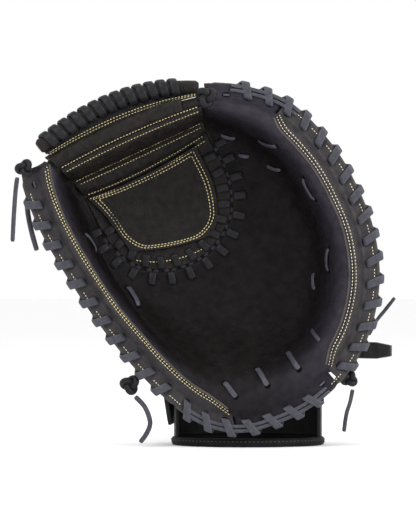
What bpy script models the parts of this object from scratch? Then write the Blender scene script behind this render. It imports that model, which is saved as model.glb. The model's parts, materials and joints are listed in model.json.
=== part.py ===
"""A catcher's mitt for the left hand, standing on its wrist edge with the pocket toward -Y and the fingers up."""

import math

import bpy
from mathutils import Vector
from mathutils.bvhtree import BVHTree

# ---------------------------------------------------------------- driving dimensions, in millimetres
TO_METRES = 0.001
MIDDLE_X = 1.03
MIDDLE_Y = 5.52
LEATHER = 2.0
SEAM_GAP = 0.35
WELT_THICK = 1.5
WELT_OUT = 1.2
WELT_IN = 4.2
FLANGE_BACK = 4.3
LACE_WIDTH = 4.8
RIM_LACE_WIDTH = 5.4
LACE_THICK = 1.8
LACE_CLEAR = 1.85
HOLE_LONG = 7.0
HOLE_SHORT = 4.2
HOLE_DEEP = 14.0
HOLE_INSET = 6.5
RIM_OUTSIDE = 2.9
PAD_BEHIND = 2.9
FLOOR_BEHIND = 2.9
STEP_GAP = 0.4
LACE_PITCH = 18.5
LACE_LEAN = 0.34
WEB_LACE_PITCH = 15.0
BAND_WIDTH_FINGER = 20.0
BAND_WIDTH_THUMB = 23.0
BAND_END_WIDTH = 11.5
BAR_RADIUS = 6.2
BAR_LIFT = 9.6
BAR_ARCH = 6.5
ROLL_HEIGHT = 5.2
ROLL_LIFT = 1.4
D_PANEL_THICK = 3.0
BINDING_TALL = 7.0
BINDING_WIDE = 7.0
STRAP_THICK = 3.6
STRAP_WIDE = 34.0
BAND_THICK = 2.6

# Plan outlines are (x, z): right and up as seen from the pocket side.
RIM_POINTS = (
    (0, 291), (32, 288), (68, 275), (100, 243), (120, 210), (134, 174), (138.5, 134), (131, 94),
    (113, 60), (85, 34), (53, 19), (24, 13.5), (-8, 23), (-44, 53), (-76, 90), (-104, 130),
    (-128, 170), (-142, 203), (-147, 226),
)
WEB_POINTS = (
    (-1, 282), (-1, 268), (3, 253), (10, 238), (18, 222), (22, 205), (22, 190), (17, 175), (9, 162),
    (-4, 151), (-19, 144), (-36, 141), (-54, 144), (-71, 155), (-84, 171), (-95, 192), (-106, 210),
    (-117, 222), (-129, 231),
)
# The open edge of the finger stalls, and the inner edge of the thumb back, from right to left.
STALL_BASE = ((24, 128), (44, 116), (64, 106), (84, 96), (100, 84))
THUMB_INNER = ((8, 62), (-22, 88), (-52, 122), (-78, 160), (-98, 196), (-122, 224))
# Depth of the leather behind the rim edge, by distance in from the edge: (distance, depth).
SIDE_PROFILE = (
    (-6, 0), (0, 0), (9.5, 0), (12.5, -2.5), (15, -7), (19, -11.5), (24, -13), (29, -11.5), (33, -7),
    (36.5, 1), (40, 11), (44, 22), (50, 33), (58, 40), (70, 44), (90, 46), (260, 47),
)
HEEL_PROFILE = (
    (-6, 0), (0, 0), (10, 0), (14, -2.5), (20, -6), (28, -8), (38, -7), (50, -1), (64, 9), (80, 21),
    (98, 32), (120, 41), (150, 46), (260, 47),
)
# Depth of the rim edge along the rim, and how far each place takes the heel profile.
ROLL_FADE = ((0, 0.1), (0.06, 1), (0.92, 1), (1, 0.25))
RIM_DEPTH = ((0, -42), (0.05, -37), (0.12, -33), (0.35, -30), (0.6, -31), (0.75, -33), (0.9, -37), (1, -42))
HEEL_SHARE = ((0, 0), (0.40, 0), (0.50, 0.6), (0.56, 1), (0.64, 1), (0.72, 0.35), (0.80, 0), (1, 0))
# How far a back leather has turned from the rim toward its full depth, by distance from the edge.
BACK_TURN = ((0, 0), (10.2, 0), (12.5, 0.05), (14.5, 0.24), (17, 0.52), (23, 0.82), (34, 1), (300, 1))


def read_table(table, at):
    """A smooth value between the table's rows."""
    last = len(table) - 1
    for index in range(last):
        if at <= table[index + 1][0] or index == last - 1:
            break
    before = table[max(index - 1, 0)]
    start = table[index]
    end = table[index + 1]
    after = table[min(index + 2, last)]
    span = end[0] - start[0]
    share = min(max((at - start[0]) / span, 0), 1)
    rise_in = (end[1] - before[1]) / max(end[0] - before[0], 1e-6) * span
    rise_out = (after[1] - start[1]) / max(after[0] - start[0], 1e-6) * span
    if (end[1] - start[1]) * rise_in <= 0:
        rise_in = 0
    if (end[1] - start[1]) * rise_out <= 0:
        rise_out = 0
    square = share * share
    cube = square * share
    return (
        (2 * cube - 3 * square + 1) * start[1]
        + (cube - 2 * square + share) * rise_in
        + (3 * square - 2 * cube) * end[1]
        + (cube - square) * rise_out
    )


class Curve:
    """A smooth line through points, read by its share of the length."""

    def __init__(self, points, steps=10):
        given = [Vector(point) for point in points]
        ends = [2 * given[0] - given[1]] + given + [2 * given[-1] - given[-2]]
        self.points = []
        for index in range(1, len(ends) - 2):
            for step in range(steps):
                share = step / steps
                a, b, c, d = ends[index - 1 : index + 3]
                self.points.append(
                    0.5 * (2 * b + (c - a) * share + (2 * a - 5 * b + 4 * c - d) * share**2
                           + (3 * b - a - 3 * c + d) * share**3)
                )
        self.points.append(given[-1])
        self.along = [0.0]
        for a, b in zip(self.points, self.points[1:]):
            self.along.append(self.along[-1] + (b - a).length)
        self.length = self.along[-1]

    def at(self, share):
        distance = min(max(share, 0), 1) * self.length
        low = 0
        high = len(self.along) - 1
        while high - low > 1:
            middle = (low + high) // 2
            if self.along[middle] <= distance:
                low = middle
            else:
                high = middle
        part = (distance - self.along[low]) / max(self.along[high] - self.along[low], 1e-9)
        return self.points[low].lerp(self.points[high], part)

    def heading(self, share, step=0.004):
        return (self.at(share + step) - self.at(share - step)).normalized()

    def nearest(self, point):
        target = Vector(point)
        best = min(range(len(self.points)), key=lambda index: (self.points[index] - target).length)
        return self.along[best] / self.length


RIM = Curve(RIM_POINTS)
WEB = Curve(WEB_POINTS)
SPOKES = {}


def right_of(direction):
    return Vector((direction.y, -direction.x))


def spoke(share, target=WEB, target_out=None, lead=0.45):
    """The line across the leather from the rim to the web edge, square to both."""
    key = (round(share, 5), id(target))
    if key not in SPOKES:
        start = RIM.at(share)
        end = target.at(share)
        reach = (end - start).length
        late = min(max((share - 0.70) / 0.08, 0), 1) if target is WEB else 0
        leave = start + right_of(RIM.heading(share)) * min((lead - late * 0.1) * reach, 42)
        arrive_way = -right_of(target.heading(share)) if target_out is None else Vector(target_out)
        arrive = end + arrive_way * min((0.3 - late * 0.14) * reach, 28)
        line = []
        steps = 24
        for step in range(steps + 1):
            u = step / steps
            line.append(
                start * (1 - u) ** 3 + leave * 3 * u * (1 - u) ** 2
                + arrive * 3 * u * u * (1 - u) + end * u**3
            )
        SPOKES[key] = Curve(line, 1)
    return SPOKES[key]


def plan_point(share, inset, target=WEB, target_out=None):
    line = spoke(share, target, target_out)
    if inset < 0:
        return RIM.at(share) + right_of(RIM.heading(share)) * inset
    return line.at(inset / line.length)


def face_depth(share, inset):
    heel = read_table(HEEL_SHARE, share)
    side = read_table(SIDE_PROFILE, inset)
    if side < 0:
        side *= read_table(ROLL_FADE, share)
    low = read_table(HEEL_PROFILE, inset)
    return read_table(RIM_DEPTH, share) + side * (1 - heel) + low * heel


def face_point(share, inset):
    """A point on the front of the palm leather."""
    plan = plan_point(share, inset)
    return Vector((plan.x, face_depth(share, inset), plan.y))


def face_normal(share, inset):
    """The direction out of the front face there, toward the ball."""
    step = 0.6
    a = face_point(share, max(inset, 0) + step) - face_point(share, max(max(inset, 0) - step, 0))
    low = min(max(share - 0.003, 0), 0.994)
    b = face_point(low + 0.006, inset) - face_point(low, inset)
    normal = a.cross(b).normalized()
    return normal if normal.y < 0 else -normal


# ---------------------------------------------------------------- making solids
def signed_volume(points, faces):
    total = 0.0
    for face in faces:
        for index in range(1, len(face) - 1):
            total += points[face[0]].dot(points[face[index]].cross(points[face[index + 1]]))
    return total


COLOURS = {
    "shell": (0.028, 0.026, 0.030, 1),
    "band": (0.034, 0.031, 0.030, 1),
    "lace": (0.045, 0.047, 0.056, 1),
    "web": (0.038, 0.034, 0.027, 1),
    "felt": (0.35, 0.33, 0.30, 1),
    "fleece": (0.05, 0.05, 0.055, 1),
    "tab": (0.05, 0.05, 0.05, 1),
}


def add_solid(name, points, faces, look, smooth=False):
    if signed_volume(points, faces) < 0:
        faces = [tuple(reversed(face)) for face in faces]
    mesh = bpy.data.meshes.new(name)
    middle = Vector((MIDDLE_X, MIDDLE_Y, 0))
    mesh.from_pydata([tuple((point - middle) * TO_METRES) for point in points], [], faces)
    mesh.update()
    solid = bpy.data.objects.new(name, mesh)
    bpy.context.scene.collection.objects.link(solid)
    material = bpy.data.materials.new(name)
    material.use_nodes = True
    shader = material.node_tree.nodes["Principled BSDF"]
    shader.inputs["Base Color"].default_value = COLOURS[look]
    shader.inputs["Roughness"].default_value = 0.55
    mesh.materials.append(material)
    for polygon in mesh.polygons:
        polygon.use_smooth = smooth
    return solid


def sheet(name, front, back, look, smooth=True):
    """A thick sheet between two grids of the same size."""
    rows = len(front)
    columns = len(front[0])
    points = [point for row in front for point in row] + [point for row in back for point in row]
    offset = rows * columns
    faces = []
    edge_uses = {}
    for row in range(rows - 1):
        for column in range(columns - 1):
            a = row * columns + column
            b = a + 1
            c = a + columns + 1
            d = a + columns
            for triangle in ((a, b, c), (a, c, d)):
                faces.append(triangle)
                faces.append(tuple(index + offset for index in reversed(triangle)))
                for first, second in zip(triangle, triangle[1:] + triangle[:1]):
                    edge_uses.setdefault(frozenset((first, second)), []).append((first, second))
    for uses in edge_uses.values():
        if len(uses) == 1:
            first, second = uses[0]
            faces.append((second, first, first + offset, second + offset))
    return add_solid(name, points, faces, look, smooth)


def loft(name, sections, look, smooth=True, ring=False):
    """A solid through closed sections of the same number of points."""
    count = len(sections[0])
    points = [point for section in sections for point in section]
    faces = []
    spans = len(sections) if ring else len(sections) - 1
    for index in range(spans):
        here = index * count
        there = ((index + 1) % len(sections)) * count
        for corner in range(count):
            after = (corner + 1) % count
            faces.append((here + corner, here + after, there + after))
            faces.append((here + corner, there + after, there + corner))
    if not ring:
        faces.append(tuple(reversed(range(count))))
        faces.append(tuple(len(points) - count + corner for corner in range(count)))
    return add_solid(name, points, faces, look, smooth)


def ribbon(name, path, sides, look="lace", width=LACE_WIDTH, thick=LACE_THICK, ring=False, slanted=False):
    """A flat lace along a path. Each side gives the direction of its width there.
    A slanted lace keeps its width along its sides, so a run at a slant shears and doesn't twist."""
    sections = []
    last = len(path) - 1
    for index, (point, side) in enumerate(zip(path, sides)):
        before = path[index - 1] if ring else path[max(index - 1, 0)]
        after = path[(index + 1) % len(path)] if ring else path[min(index + 1, last)]
        way_in = (point - before).normalized() if before is not point else Vector()
        way_out = (after - point).normalized() if after is not point else Vector()
        if slanted:
            side = side.normalized()
            way_in = (way_in - side * way_in.dot(side)).normalized()
            way_out = (way_out - side * way_out.dot(side)).normalized()
        along = (way_in + way_out).normalized()
        across = (side - along * side.dot(along)).normalized()
        up = along.cross(across)
        w = across * width / 2
        h = up * thick / 2
        sections.append([point + w + h, point - w + h, point - w - h, point + w - h])
    return loft(name, sections, look, smooth=False, ring=ring)


def tube(name, path, radius, look, corners=8, first_side=Vector((0, 0, 1))):
    sections = []
    last = len(path) - 1
    for index, point in enumerate(path):
        along = (path[min(index + 1, last)] - path[max(index - 1, 0)]).normalized()
        across = (first_side - along * first_side.dot(along)).normalized()
        up = along.cross(across)
        sections.append([
            point + (across * math.cos(turn) + up * math.sin(turn)) * radius
            for turn in (math.tau * corner / corners for corner in range(corners))
        ])
    return loft(name, sections, look)


def spread(start, end, count):
    return [start + (end - start) * index / (count - 1) for index in range(count)]


# ---------------------------------------------------------------- lacing holes
def hole_cutter(name, holes):
    """One helper that holds every hole: (centre, outward normal, direction of the long side)."""
    points = []
    faces = []
    for centre, normal, long_way, _ in holes:
        w = (long_way - normal * long_way.dot(normal)).normalized() * HOLE_LONG / 2
        h = normal.cross(w).normalized() * HOLE_SHORT / 2
        n = normal * HOLE_DEEP / 2
        base = len(points)
        for depth in (n, -n):
            points += [centre + depth + w + h, centre + depth - w + h, centre + depth - w - h,
                       centre + depth + w - h]
        for quad in ((0, 1, 2, 3), (7, 6, 5, 4), (0, 4, 5, 1), (1, 5, 6, 2), (2, 6, 7, 3), (3, 7, 4, 0)):
            faces.append(tuple(base + index for index in quad))
    cutter = add_solid(name, points, faces, "felt")
    cutter.hide_render = True
    cutter.display_type = "WIRE"
    return cutter


def cut(solid, cutter):
    modifier = solid.modifiers.new("lace_holes", "BOOLEAN")
    modifier.operation = "DIFFERENCE"
    modifier.solver = "EXACT"
    modifier.object = cutter


def rim_lacing(name, first, last, way=-1):
    """A lace spiralling round the rim from one share of the rim to another, each turn over the edge leaning
    toward the finger tops. It returns its holes."""
    turns = max(round((last - first) * RIM.length / LACE_PITCH), 2)
    step = (last - first) / turns
    path = []
    sides = []
    holes = []
    for turn in range(turns + 1):
        here = last - step * turn if way < 0 else first + step * turn
        normal = face_normal(here, HOLE_INSET)
        head = face_point(here, HOLE_INSET)
        along = RIM.heading(here)
        side = Vector((along.x, 0, along.y))
        deep = FLANGE_BACK + LEATHER + LACE_CLEAR
        holes.append((head - normal * 3, normal, side, here))
        path += [head - normal * deep, head + normal * LACE_CLEAR]
        sides += [side, side]
        if turn < turns:
            over = here + way * step * LACE_LEAN
            edge = face_point(over, -RIM_OUTSIDE)
            edge_normal = face_normal(over, 0)
            path += [edge + edge_normal * LACE_CLEAR * 0.9, edge - edge_normal * deep]
            edge_along = RIM.heading(over)
            sides += [Vector((edge_along.x, 0, edge_along.y))] * 2
    ribbon(name, path, sides, width=RIM_LACE_WIDTH, slanted=True)
    return holes


# ---------------------------------------------------------------- start
for old in list(bpy.data.objects):
    bpy.data.objects.remove(old, do_unlink=True)

HEEL_SPAN = (RIM.nearest((100, 45)), RIM.nearest((-20, 32)))
finger_holes = rim_lacing("finger_rim_lace", 0.028, HEEL_SPAN[0] - 0.030)
heel_holes = rim_lacing("heel_rim_lace", HEEL_SPAN[0] + 0.0005, HEEL_SPAN[1] - 0.002)
thumb_holes = rim_lacing("thumb_rim_lace", HEEL_SPAN[1] + 0.028, 0.972, way=1)
rim_holes = finger_holes + heel_holes + thumb_holes


def between_holes(share):
    """The place halfway between two lacing holes nearest this one."""
    stops = sorted(hole[3] for hole in rim_holes)
    middles = [(a + b) / 2 for a, b in zip(stops, stops[1:])]
    return min(middles, key=lambda middle: abs(middle - share))


FINGER_BAND = (between_holes(RIM.nearest((66, 276))), between_holes(RIM.nearest((108, 54))))
THUMB_BAND = (between_holes(RIM.nearest((22, 14))), 0.985)
COLUMNS = 59


def holes_in(first, last, name):
    return hole_cutter(name, [hole for hole in rim_holes if first < hole[3] < last])


def columns_between(first, last, least=2):
    """The shared column lines from one share of the rim to another."""
    grid = [index / (COLUMNS - 1) for index in range(COLUMNS)]
    inside = [share for share in grid if first + 0.008 < share < last - 0.008]
    return [first] + inside + [last]


def band_width(share):
    """How wide the outer band is, or nothing where the palm leather reaches the rim."""
    for span, width in ((FINGER_BAND, BAND_WIDTH_FINGER), (THUMB_BAND, BAND_WIDTH_THUMB)):
        if span[0] - 1e-6 <= share <= span[1] + 1e-6:
            near = min(share - span[0], span[1] - share) * RIM.length
            if span is THUMB_BAND:
                near = (share - span[0]) * RIM.length
            ease = min(near / 26, 1)
            limit = spoke(share).length - 5
            return min(BAND_END_WIDTH + (width - BAND_END_WIDTH) * math.sin(ease * math.pi / 2), limit)
    return 0


def face_grid(shares, row_count, inner, outer, behind):
    """Rows from the outer inset to the inner inset, for each share, set back from the front face."""
    grid = []
    for share in shares:
        start = outer(share)
        end = inner(share)
        row = []
        for inset in row_count(start, end):
            point = face_point(share, inset)
            row.append(point - face_normal(share, inset) * behind)
        grid.append(row)
    return grid


PALM_ROWS = (0, 9.5, 15, 21, 28, 34, 40, 47, 58, 78)
LEAST_ROW_STEP = 0.9
FLOOR_ROWS = 3


def palm_rows(start, end):
    """Insets that follow the roll and its wall, then share out the floor. Beyond the band they match everywhere."""
    scale = min(end / (PALM_ROWS[-1] * 1.2), 1)
    rows = [value * scale for value in PALM_ROWS]
    rows += spread(rows[-1], end, FLOOR_ROWS)[1:]
    shared = 0
    while start > 0 and shared < len(rows) - 1 and rows[shared] < start + LEAST_ROW_STEP * max(shared, 1):
        shared += 1
    return spread(start, rows[shared], shared + 1)[:-1] + rows[shared:] if shared else rows


def band_rows(start, end):
    return spread(start, end, 5)


END_STEP = 0.003
BAND_ENDS = ((FINGER_BAND[0] + END_STEP, FINGER_BAND[1] - END_STEP), (THUMB_BAND[0] + END_STEP, 0.985))
palm_shares = sorted(
    columns_between(0.0, FINGER_BAND[0] - END_STEP)
    + [FINGER_BAND[0]] + columns_between(*BAND_ENDS[0]) + [FINGER_BAND[1]]
    + columns_between(FINGER_BAND[1] + END_STEP, THUMB_BAND[0] - END_STEP)
    + [THUMB_BAND[0]] + columns_between(*BAND_ENDS[1]) + [0.992]
)


def palm_outer(share):
    width = band_width(share)
    return width + SEAM_GAP if width else 0


def web_edge(share):
    return spoke(share).length - 1.0


palm_holes = [
    hole for hole in rim_holes
    if hole[3] < FINGER_BAND[0] or FINGER_BAND[1] < hole[3] < THUMB_BAND[0]
]
palm_cutter = hole_cutter("palm_holes", palm_holes)


def leather_sheet(name, shares, rows, outer, inner, look):
    front = face_grid(shares, rows, inner, outer, 0)
    back = face_grid(shares, rows, inner, outer, LEATHER)
    return sheet(name, front, back, look)


palm = leather_sheet("palm_leather", palm_shares, palm_rows, palm_outer, web_edge, "shell")
cut(palm, palm_cutter)
for name, span in (("finger_outer_band", BAND_ENDS[0]), ("thumb_outer_band", BAND_ENDS[1])):
    shares = columns_between(*span)
    band = leather_sheet(name, shares, band_rows, lambda share: 0, band_width, "band")
    cut(band, holes_in(span[0], span[1], name + "_holes"))

# ---------------------------------------------------------------- welts between the rim leathers
for name, first, last in (
    ("finger_rim_welt", 0.008, HEEL_SPAN[0] - 0.012),
    ("heel_rim_welt", HEEL_SPAN[0] - 0.0105, HEEL_SPAN[1] + 0.0095),
    ("thumb_rim_welt", HEEL_SPAN[1] + 0.011, 0.98),
):
    sections = []
    for share in columns_between(first, last):
        edge = face_point(share, 0)
        inner_edge = face_point(share, WELT_IN)
        outward = (edge - inner_edge).normalized() * WELT_OUT
        normal = face_normal(share, 2)
        near = normal * -(LEATHER + STEP_GAP)
        far = normal * -(LEATHER + STEP_GAP + WELT_THICK)
        sections.append([edge + outward + near, inner_edge + near, inner_edge + far, edge + outward + far])
    loft(name, sections, "band", smooth=False)

# ---------------------------------------------------------------- the web
WEB_GAP = 3.0
WEB_COLUMNS = 9
WEB_ROWS = (
    (WEB.nearest((7, 160)), WEB.nearest((-60, 147)), 0.0, 0.0),
    (WEB.nearest((17, 175)), WEB.nearest((-74, 158)), -7.0, 1.5),
    (WEB.nearest((22, 194)), WEB.nearest((-84, 171)), -6.0, 4.0),
    (WEB.nearest((18, 222)), WEB.nearest((-92, 186)), -5.0, 6.0),
    (WEB.nearest((3, 252)), WEB.nearest((-100, 200)), -4.0, 7.0),
    (WEB.nearest((-1, 264)), WEB.nearest((-108, 212)), 0.0, 6.0),
    (WEB.nearest((-1, 274)), WEB.nearest((-117, 222)), 3.0, 5.0),
    (WEB.nearest((-1, 281)), WEB.nearest((-127, 230)), 6.0, 4.0),
)


def web_edge_point(share):
    """A point on the web's own edge, just inside the palm leather's edge."""
    border = face_point(share, web_edge(share))
    inside = right_of(WEB.heading(share, 0.02)) * WEB_GAP
    return border + Vector((inside.x, 0, inside.y))


web_grid = []
for row, (right_share, left_share, bow, sag) in enumerate(WEB_ROWS):
    line = []
    for column in range(WEB_COLUMNS):
        part = column / (WEB_COLUMNS - 1)
        if row == 0:
            line.append(web_edge_point(right_share + (left_share - right_share) * part))
            continue
        right_end = web_edge_point(right_share)
        left_end = web_edge_point(left_share)
        arch = 4 * part * (1 - part)
        line.append(right_end.lerp(left_end, part) + Vector((0, sag * arch, bow * arch)))
    web_grid.append(line)

web_normals = []
for row in range(len(web_grid)):
    line = []
    for column in range(WEB_COLUMNS):
        a = web_grid[min(row + 1, len(web_grid) - 1)][column] - web_grid[max(row - 1, 0)][column]
        b = web_grid[row][min(column + 1, WEB_COLUMNS - 1)] - web_grid[row][max(column - 1, 0)]
        normal = a.cross(b).normalized()
        line.append(normal if normal.y < 0 else -normal)
    web_normals.append(line)


def web_at(row, column, lift):
    """A point on the web by row and column, which may fall between two of either."""
    low_row = min(int(row), len(web_grid) - 2)
    low_column = min(int(column), WEB_COLUMNS - 2)
    u = row - low_row
    v = column - low_column
    spots = []
    for grid in (web_grid, web_normals):
        near = grid[low_row][low_column].lerp(grid[low_row][low_column + 1], v)
        far = grid[low_row + 1][low_column].lerp(grid[low_row + 1][low_column + 1], v)
        spots.append(near.lerp(far, u))
    return spots[0] + spots[1].normalized() * lift


def web_part(name, rows, columns, near, far, look):
    front = [[web_at(row, column, far) for column in columns] for row in rows]
    back = [[web_at(row, column, near) for column in columns] for row in rows]
    return sheet(name, front, back, look)


last_row = len(web_grid) - 1
web_backing = web_part("web_backing", range(last_row + 1), range(WEB_COLUMNS), -LEATHER, 0, "web")
D_ROWS = (1, 2, 3, 4)
web_part("web_panel", D_ROWS, range(1, WEB_COLUMNS - 1), STEP_GAP, D_PANEL_THICK, "web")
for index in range(3):
    low = 4 + index + (0.16 if index == 0 else 0.1)
    high = 5 + index - 0.1
    sections = []
    for column in range(1 if index == 2 else 0, WEB_COLUMNS):
        ends = 0.6 if column in (0, WEB_COLUMNS - 1) else 1.0
        section = [web_at(low, column, ROLL_LIFT)]
        for part in (0.06, 0.28, 0.5, 0.72, 0.94):
            height = ROLL_LIFT + ROLL_HEIGHT * ends * math.sin(math.pi * part) ** 0.6
            section.append(web_at(low + (high - low) * part, column, height))
        section.append(web_at(high, column, ROLL_LIFT))
        sections.append(section)
    loft(f"web_roll_{index + 1}", sections, "web")

bar_line = []
for column in spread(0.25, 7.75, 16):
    top = web_at(last_row, column, -1)
    below = web_at(last_row - 1, column, -1)
    arch = math.sin(math.pi * column / (WEB_COLUMNS - 1)) * BAR_ARCH
    bar_line.append(top + (top - below).normalized() * (BAR_LIFT + arch))
bar_curve = Curve(bar_line, 4)
bar_path = [bar_curve.at(part) for part in spread(0, 1, 13)]
tube("web_top_bar", bar_path, BAR_RADIUS, "web")

BAR_TURNS = 13
BAR_STEPS = 7
spiral = []
spiral_sides = []
for index in range(BAR_TURNS * BAR_STEPS + 1):
    part = 0.12 + 0.85 * index / (BAR_TURNS * BAR_STEPS)
    turn = math.tau * index / BAR_STEPS
    centre = bar_curve.at(part)
    along = bar_curve.heading(part, 0.03)
    across = along.cross(Vector((0, 1, 0))).normalized()
    out = across * math.cos(turn) + along.cross(across) * math.sin(turn)
    spiral.append(centre + out * (BAR_RADIUS + LACE_THICK / 2 + 0.75))
    spiral_sides.append(along)
ribbon("web_top_lace", spiral, spiral_sides)

# The web's lower edge is laced to the palm leather through a row of holes in each.
web_front = [web_grid[row][column] for row in range(len(web_grid)) for column in range(WEB_COLUMNS)]
WEB_HOLE_IN = 6.5
PALM_HOLE_IN = 6.5
FIRST_STITCH = WEB.nearest((7, 244))
LAST_STITCH = WEB.nearest((-88, 178))
stitches = round((LAST_STITCH - FIRST_STITCH) * WEB.length / WEB_LACE_PITCH)
web_faces = []
for row in range(len(web_grid) - 1):
    for column in range(WEB_COLUMNS - 1):
        corner = row * WEB_COLUMNS + column
        web_faces.append((corner, corner + 1, corner + WEB_COLUMNS + 1))
        web_faces.append((corner, corner + WEB_COLUMNS + 1, corner + WEB_COLUMNS))
web_tree = BVHTree.FromPolygons(web_front, web_faces)


def onto(tree, x, z):
    """The front of a surface at a place in plan, with its direction toward the ball."""
    spot, normal, _, _ = tree.ray_cast(Vector((x, -400, z)), Vector((0, 1, 0)))
    return spot, normal if normal.y < 0 else -normal


path = []
sides = []
web_holes = []
border_holes = []
for index in range(stitches + 1):
    share = FIRST_STITCH + (LAST_STITCH - FIRST_STITCH) * index / stitches
    later = share + (LAST_STITCH - FIRST_STITCH) * 0.5 / stitches
    along = WEB.heading(share, 0.02)
    side = Vector((along.x, 0, along.y))
    inset = web_edge(share) - PALM_HOLE_IN
    head = face_point(share, inset)
    head_normal = face_normal(share, inset)
    border_holes.append((head, head_normal, side, share))
    deep = LEATHER + LACE_CLEAR + 0.1
    path += [head - head_normal * deep, head + head_normal * LACE_CLEAR]
    sides += [side, side]
    if index == stitches:
        break
    middle = face_point(later, web_edge(later))
    middle_normal = face_normal(later, web_edge(later) - 2)
    inside = right_of(WEB.heading(later, 0.02)) * (WEB_GAP + WEB_HOLE_IN)
    foot, foot_normal = onto(web_tree, middle.x + inside.x, middle.z + inside.y)
    web_holes.append((foot, foot_normal, side, later))
    path += [foot + foot_normal * LACE_CLEAR, foot - foot_normal * deep]
    sides += [side, side]
ribbon("web_pocket_lace", path, sides, width=4.6, slanted=True)
cut(web_backing, hole_cutter("web_holes", web_holes))
cut(palm, hole_cutter("border_holes", border_holes))

# ---------------------------------------------------------------- short laces through the palm face
palm_front = face_grid(palm_shares, palm_rows, web_edge, palm_outer, 0)
row_length = len(palm_front[0])
palm_faces = []
for column in range(len(palm_front) - 1):
    for row in range(row_length - 1):
        corner = column * row_length + row
        palm_faces.append((corner, corner + 1, corner + row_length + 1))
        palm_faces.append((corner, corner + row_length + 1, corner + row_length))
palm_tree = BVHTree.FromPolygons([point for line in palm_front for point in line], palm_faces)
TIES = {
    "finger_tie_1": ((43, 247), (57, 241)), "finger_tie_2": ((78, 216), (88, 198)),
    "finger_tie_3": ((99, 160), (99, 141)), "heel_tie_1": ((66, 77), (75, 63)),
    "heel_tie_2": ((41, 64), (50, 50)), "heel_tie_3": ((15, 53), (25, 41)),
    "thumb_tie_1": ((-97, 172), (-88, 157)), "thumb_tie_2": ((-63, 129), (-53.5, 113)),
}
tie_holes = []
for name, (start, end) in TIES.items():
    path = []
    sides = []
    first, first_normal = onto(palm_tree, *start)
    last, last_normal = onto(palm_tree, *end)
    run = (last - first).normalized()
    for spot, normal in ((first, first_normal), (last, last_normal)):
        tie_holes.append((spot, normal, run.cross(normal), 0))
    high = 2.7
    low = -1.5
    middle, middle_normal = onto(palm_tree, (start[0] + end[0]) / 2, (start[1] + end[1]) / 2)
    path = [first + first_normal * low, first + first_normal * high, middle + middle_normal * 3.1,
            last + last_normal * high, last + last_normal * low]
    sides = [run.cross(middle_normal)] * len(path)
    ribbon(name, path, sides, width=4.2)
cut(palm, hole_cutter("tie_holes", tie_holes))

# ---------------------------------------------------------------- pads behind the rolls
PAD_LEAST_THICK = 0.5


def roll_pad(name, first, last, start, end, rows, plain=0.0):
    """A pad behind a roll. The plainer it is, the more nearly its front is the leather moved straight back."""
    sections = []
    for share in columns_between(first, last):
        limit = min(end, spoke(share).length - 6)
        front = []
        for inset in spread(start, limit, rows):
            toward = (face_normal(share, inset) + Vector((0, -plain, 0))).normalized()
            front.append(face_point(share, inset) - toward * PAD_BEHIND * (1 + plain * 0.22))
        behind = Vector((0, PAD_LEAST_THICK, 0))
        sections.append(front + [front[-1] + behind, front[0] + behind])
    loft(name, sections, "felt")


roll_pad("finger_roll_pad", 0.10, HEEL_SPAN[0] - 0.035, 13.5, 46, 8)
roll_pad("heel_pad", HEEL_SPAN[0] - 0.008, RIM.nearest((46, 17)), 14, 50, 8)
roll_pad("thumb_heel_pad", RIM.nearest((4, 19)), RIM.nearest((-36, 45)), 14, 58, 8)
roll_pad("thumb_roll_pad", RIM.nearest((-46, 55)), 0.86, 13.5, 34, 8, plain=1.2)

# ---------------------------------------------------------------- linings behind the palm
def lining_depth(share, inset):
    """The hand side of the heel: flat under the rim, then behind the pad, then under the floor."""
    rim = read_table(RIM_DEPTH, share)
    flat = rim + FLANGE_BACK
    chord_start = rim + 2.4
    end = min(74, spoke(share).length - 6)
    chord_end = face_depth(share, end) + PAD_BEHIND * 1.1
    chord = chord_start + (chord_end - chord_start) * min(max((inset - 14) / (end - 14), 0), 1)
    return max(flat, chord + 1.6, face_depth(share, inset) + 4.4)


def lining_point(share, inset, behind):
    plan = plan_point(share, inset)
    return Vector((plan.x, lining_depth(share, inset) + behind, plan.y))


heel_shares = columns_between(HEEL_SPAN[0] - 0.008, HEEL_SPAN[1] + 0.008)
heel_rows = (0, 5, 10, 14, 24, 36, 48, 60)
front = [[lining_point(share, inset, 0) for inset in heel_rows] for share in heel_shares]
back = [[lining_point(share, inset, 1.6) for inset in heel_rows] for share in heel_shares]
heel_lining = sheet("heel_lining", front, back, "fleece")
cut(heel_lining, holes_in(heel_shares[0], heel_shares[-1], "lining_holes"))

floor_shares = spread(0.24, 0.65, 15)


def floor_point(share, part, behind):
    reach = spoke(share).length - 9
    start = min(82, reach * 0.86)
    inset = start + (reach - start) * part
    point = face_point(share, inset)
    return point - face_normal(share, inset) * (FLOOR_BEHIND + behind)


floor_parts = spread(0, 1, 5)
front = [[floor_point(share, part, 0) for part in floor_parts] for share in floor_shares]
back = [[floor_point(share, part, 1.4) for part in floor_parts] for share in floor_shares]
sheet("palm_lining", front, back, "fleece")

# ---------------------------------------------------------------- back leathers
BACK_ROWS = (0, 5, 10.2, 12.5, 14.5, 17, 23, 34)


SMOOTH_PASSES = 3


def evened(directions, column, index):
    """One direction averaged with those beside it."""
    total = directions[column][index] * 2
    for other_column, other_index in ((column - 1, index), (column + 1, index), (column, index - 1), (column, index + 1)):
        if 0 <= other_column < len(directions) and other_index < len(directions[column]):
            total = total + directions[other_column][other_index]
    return total.normalized()


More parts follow.
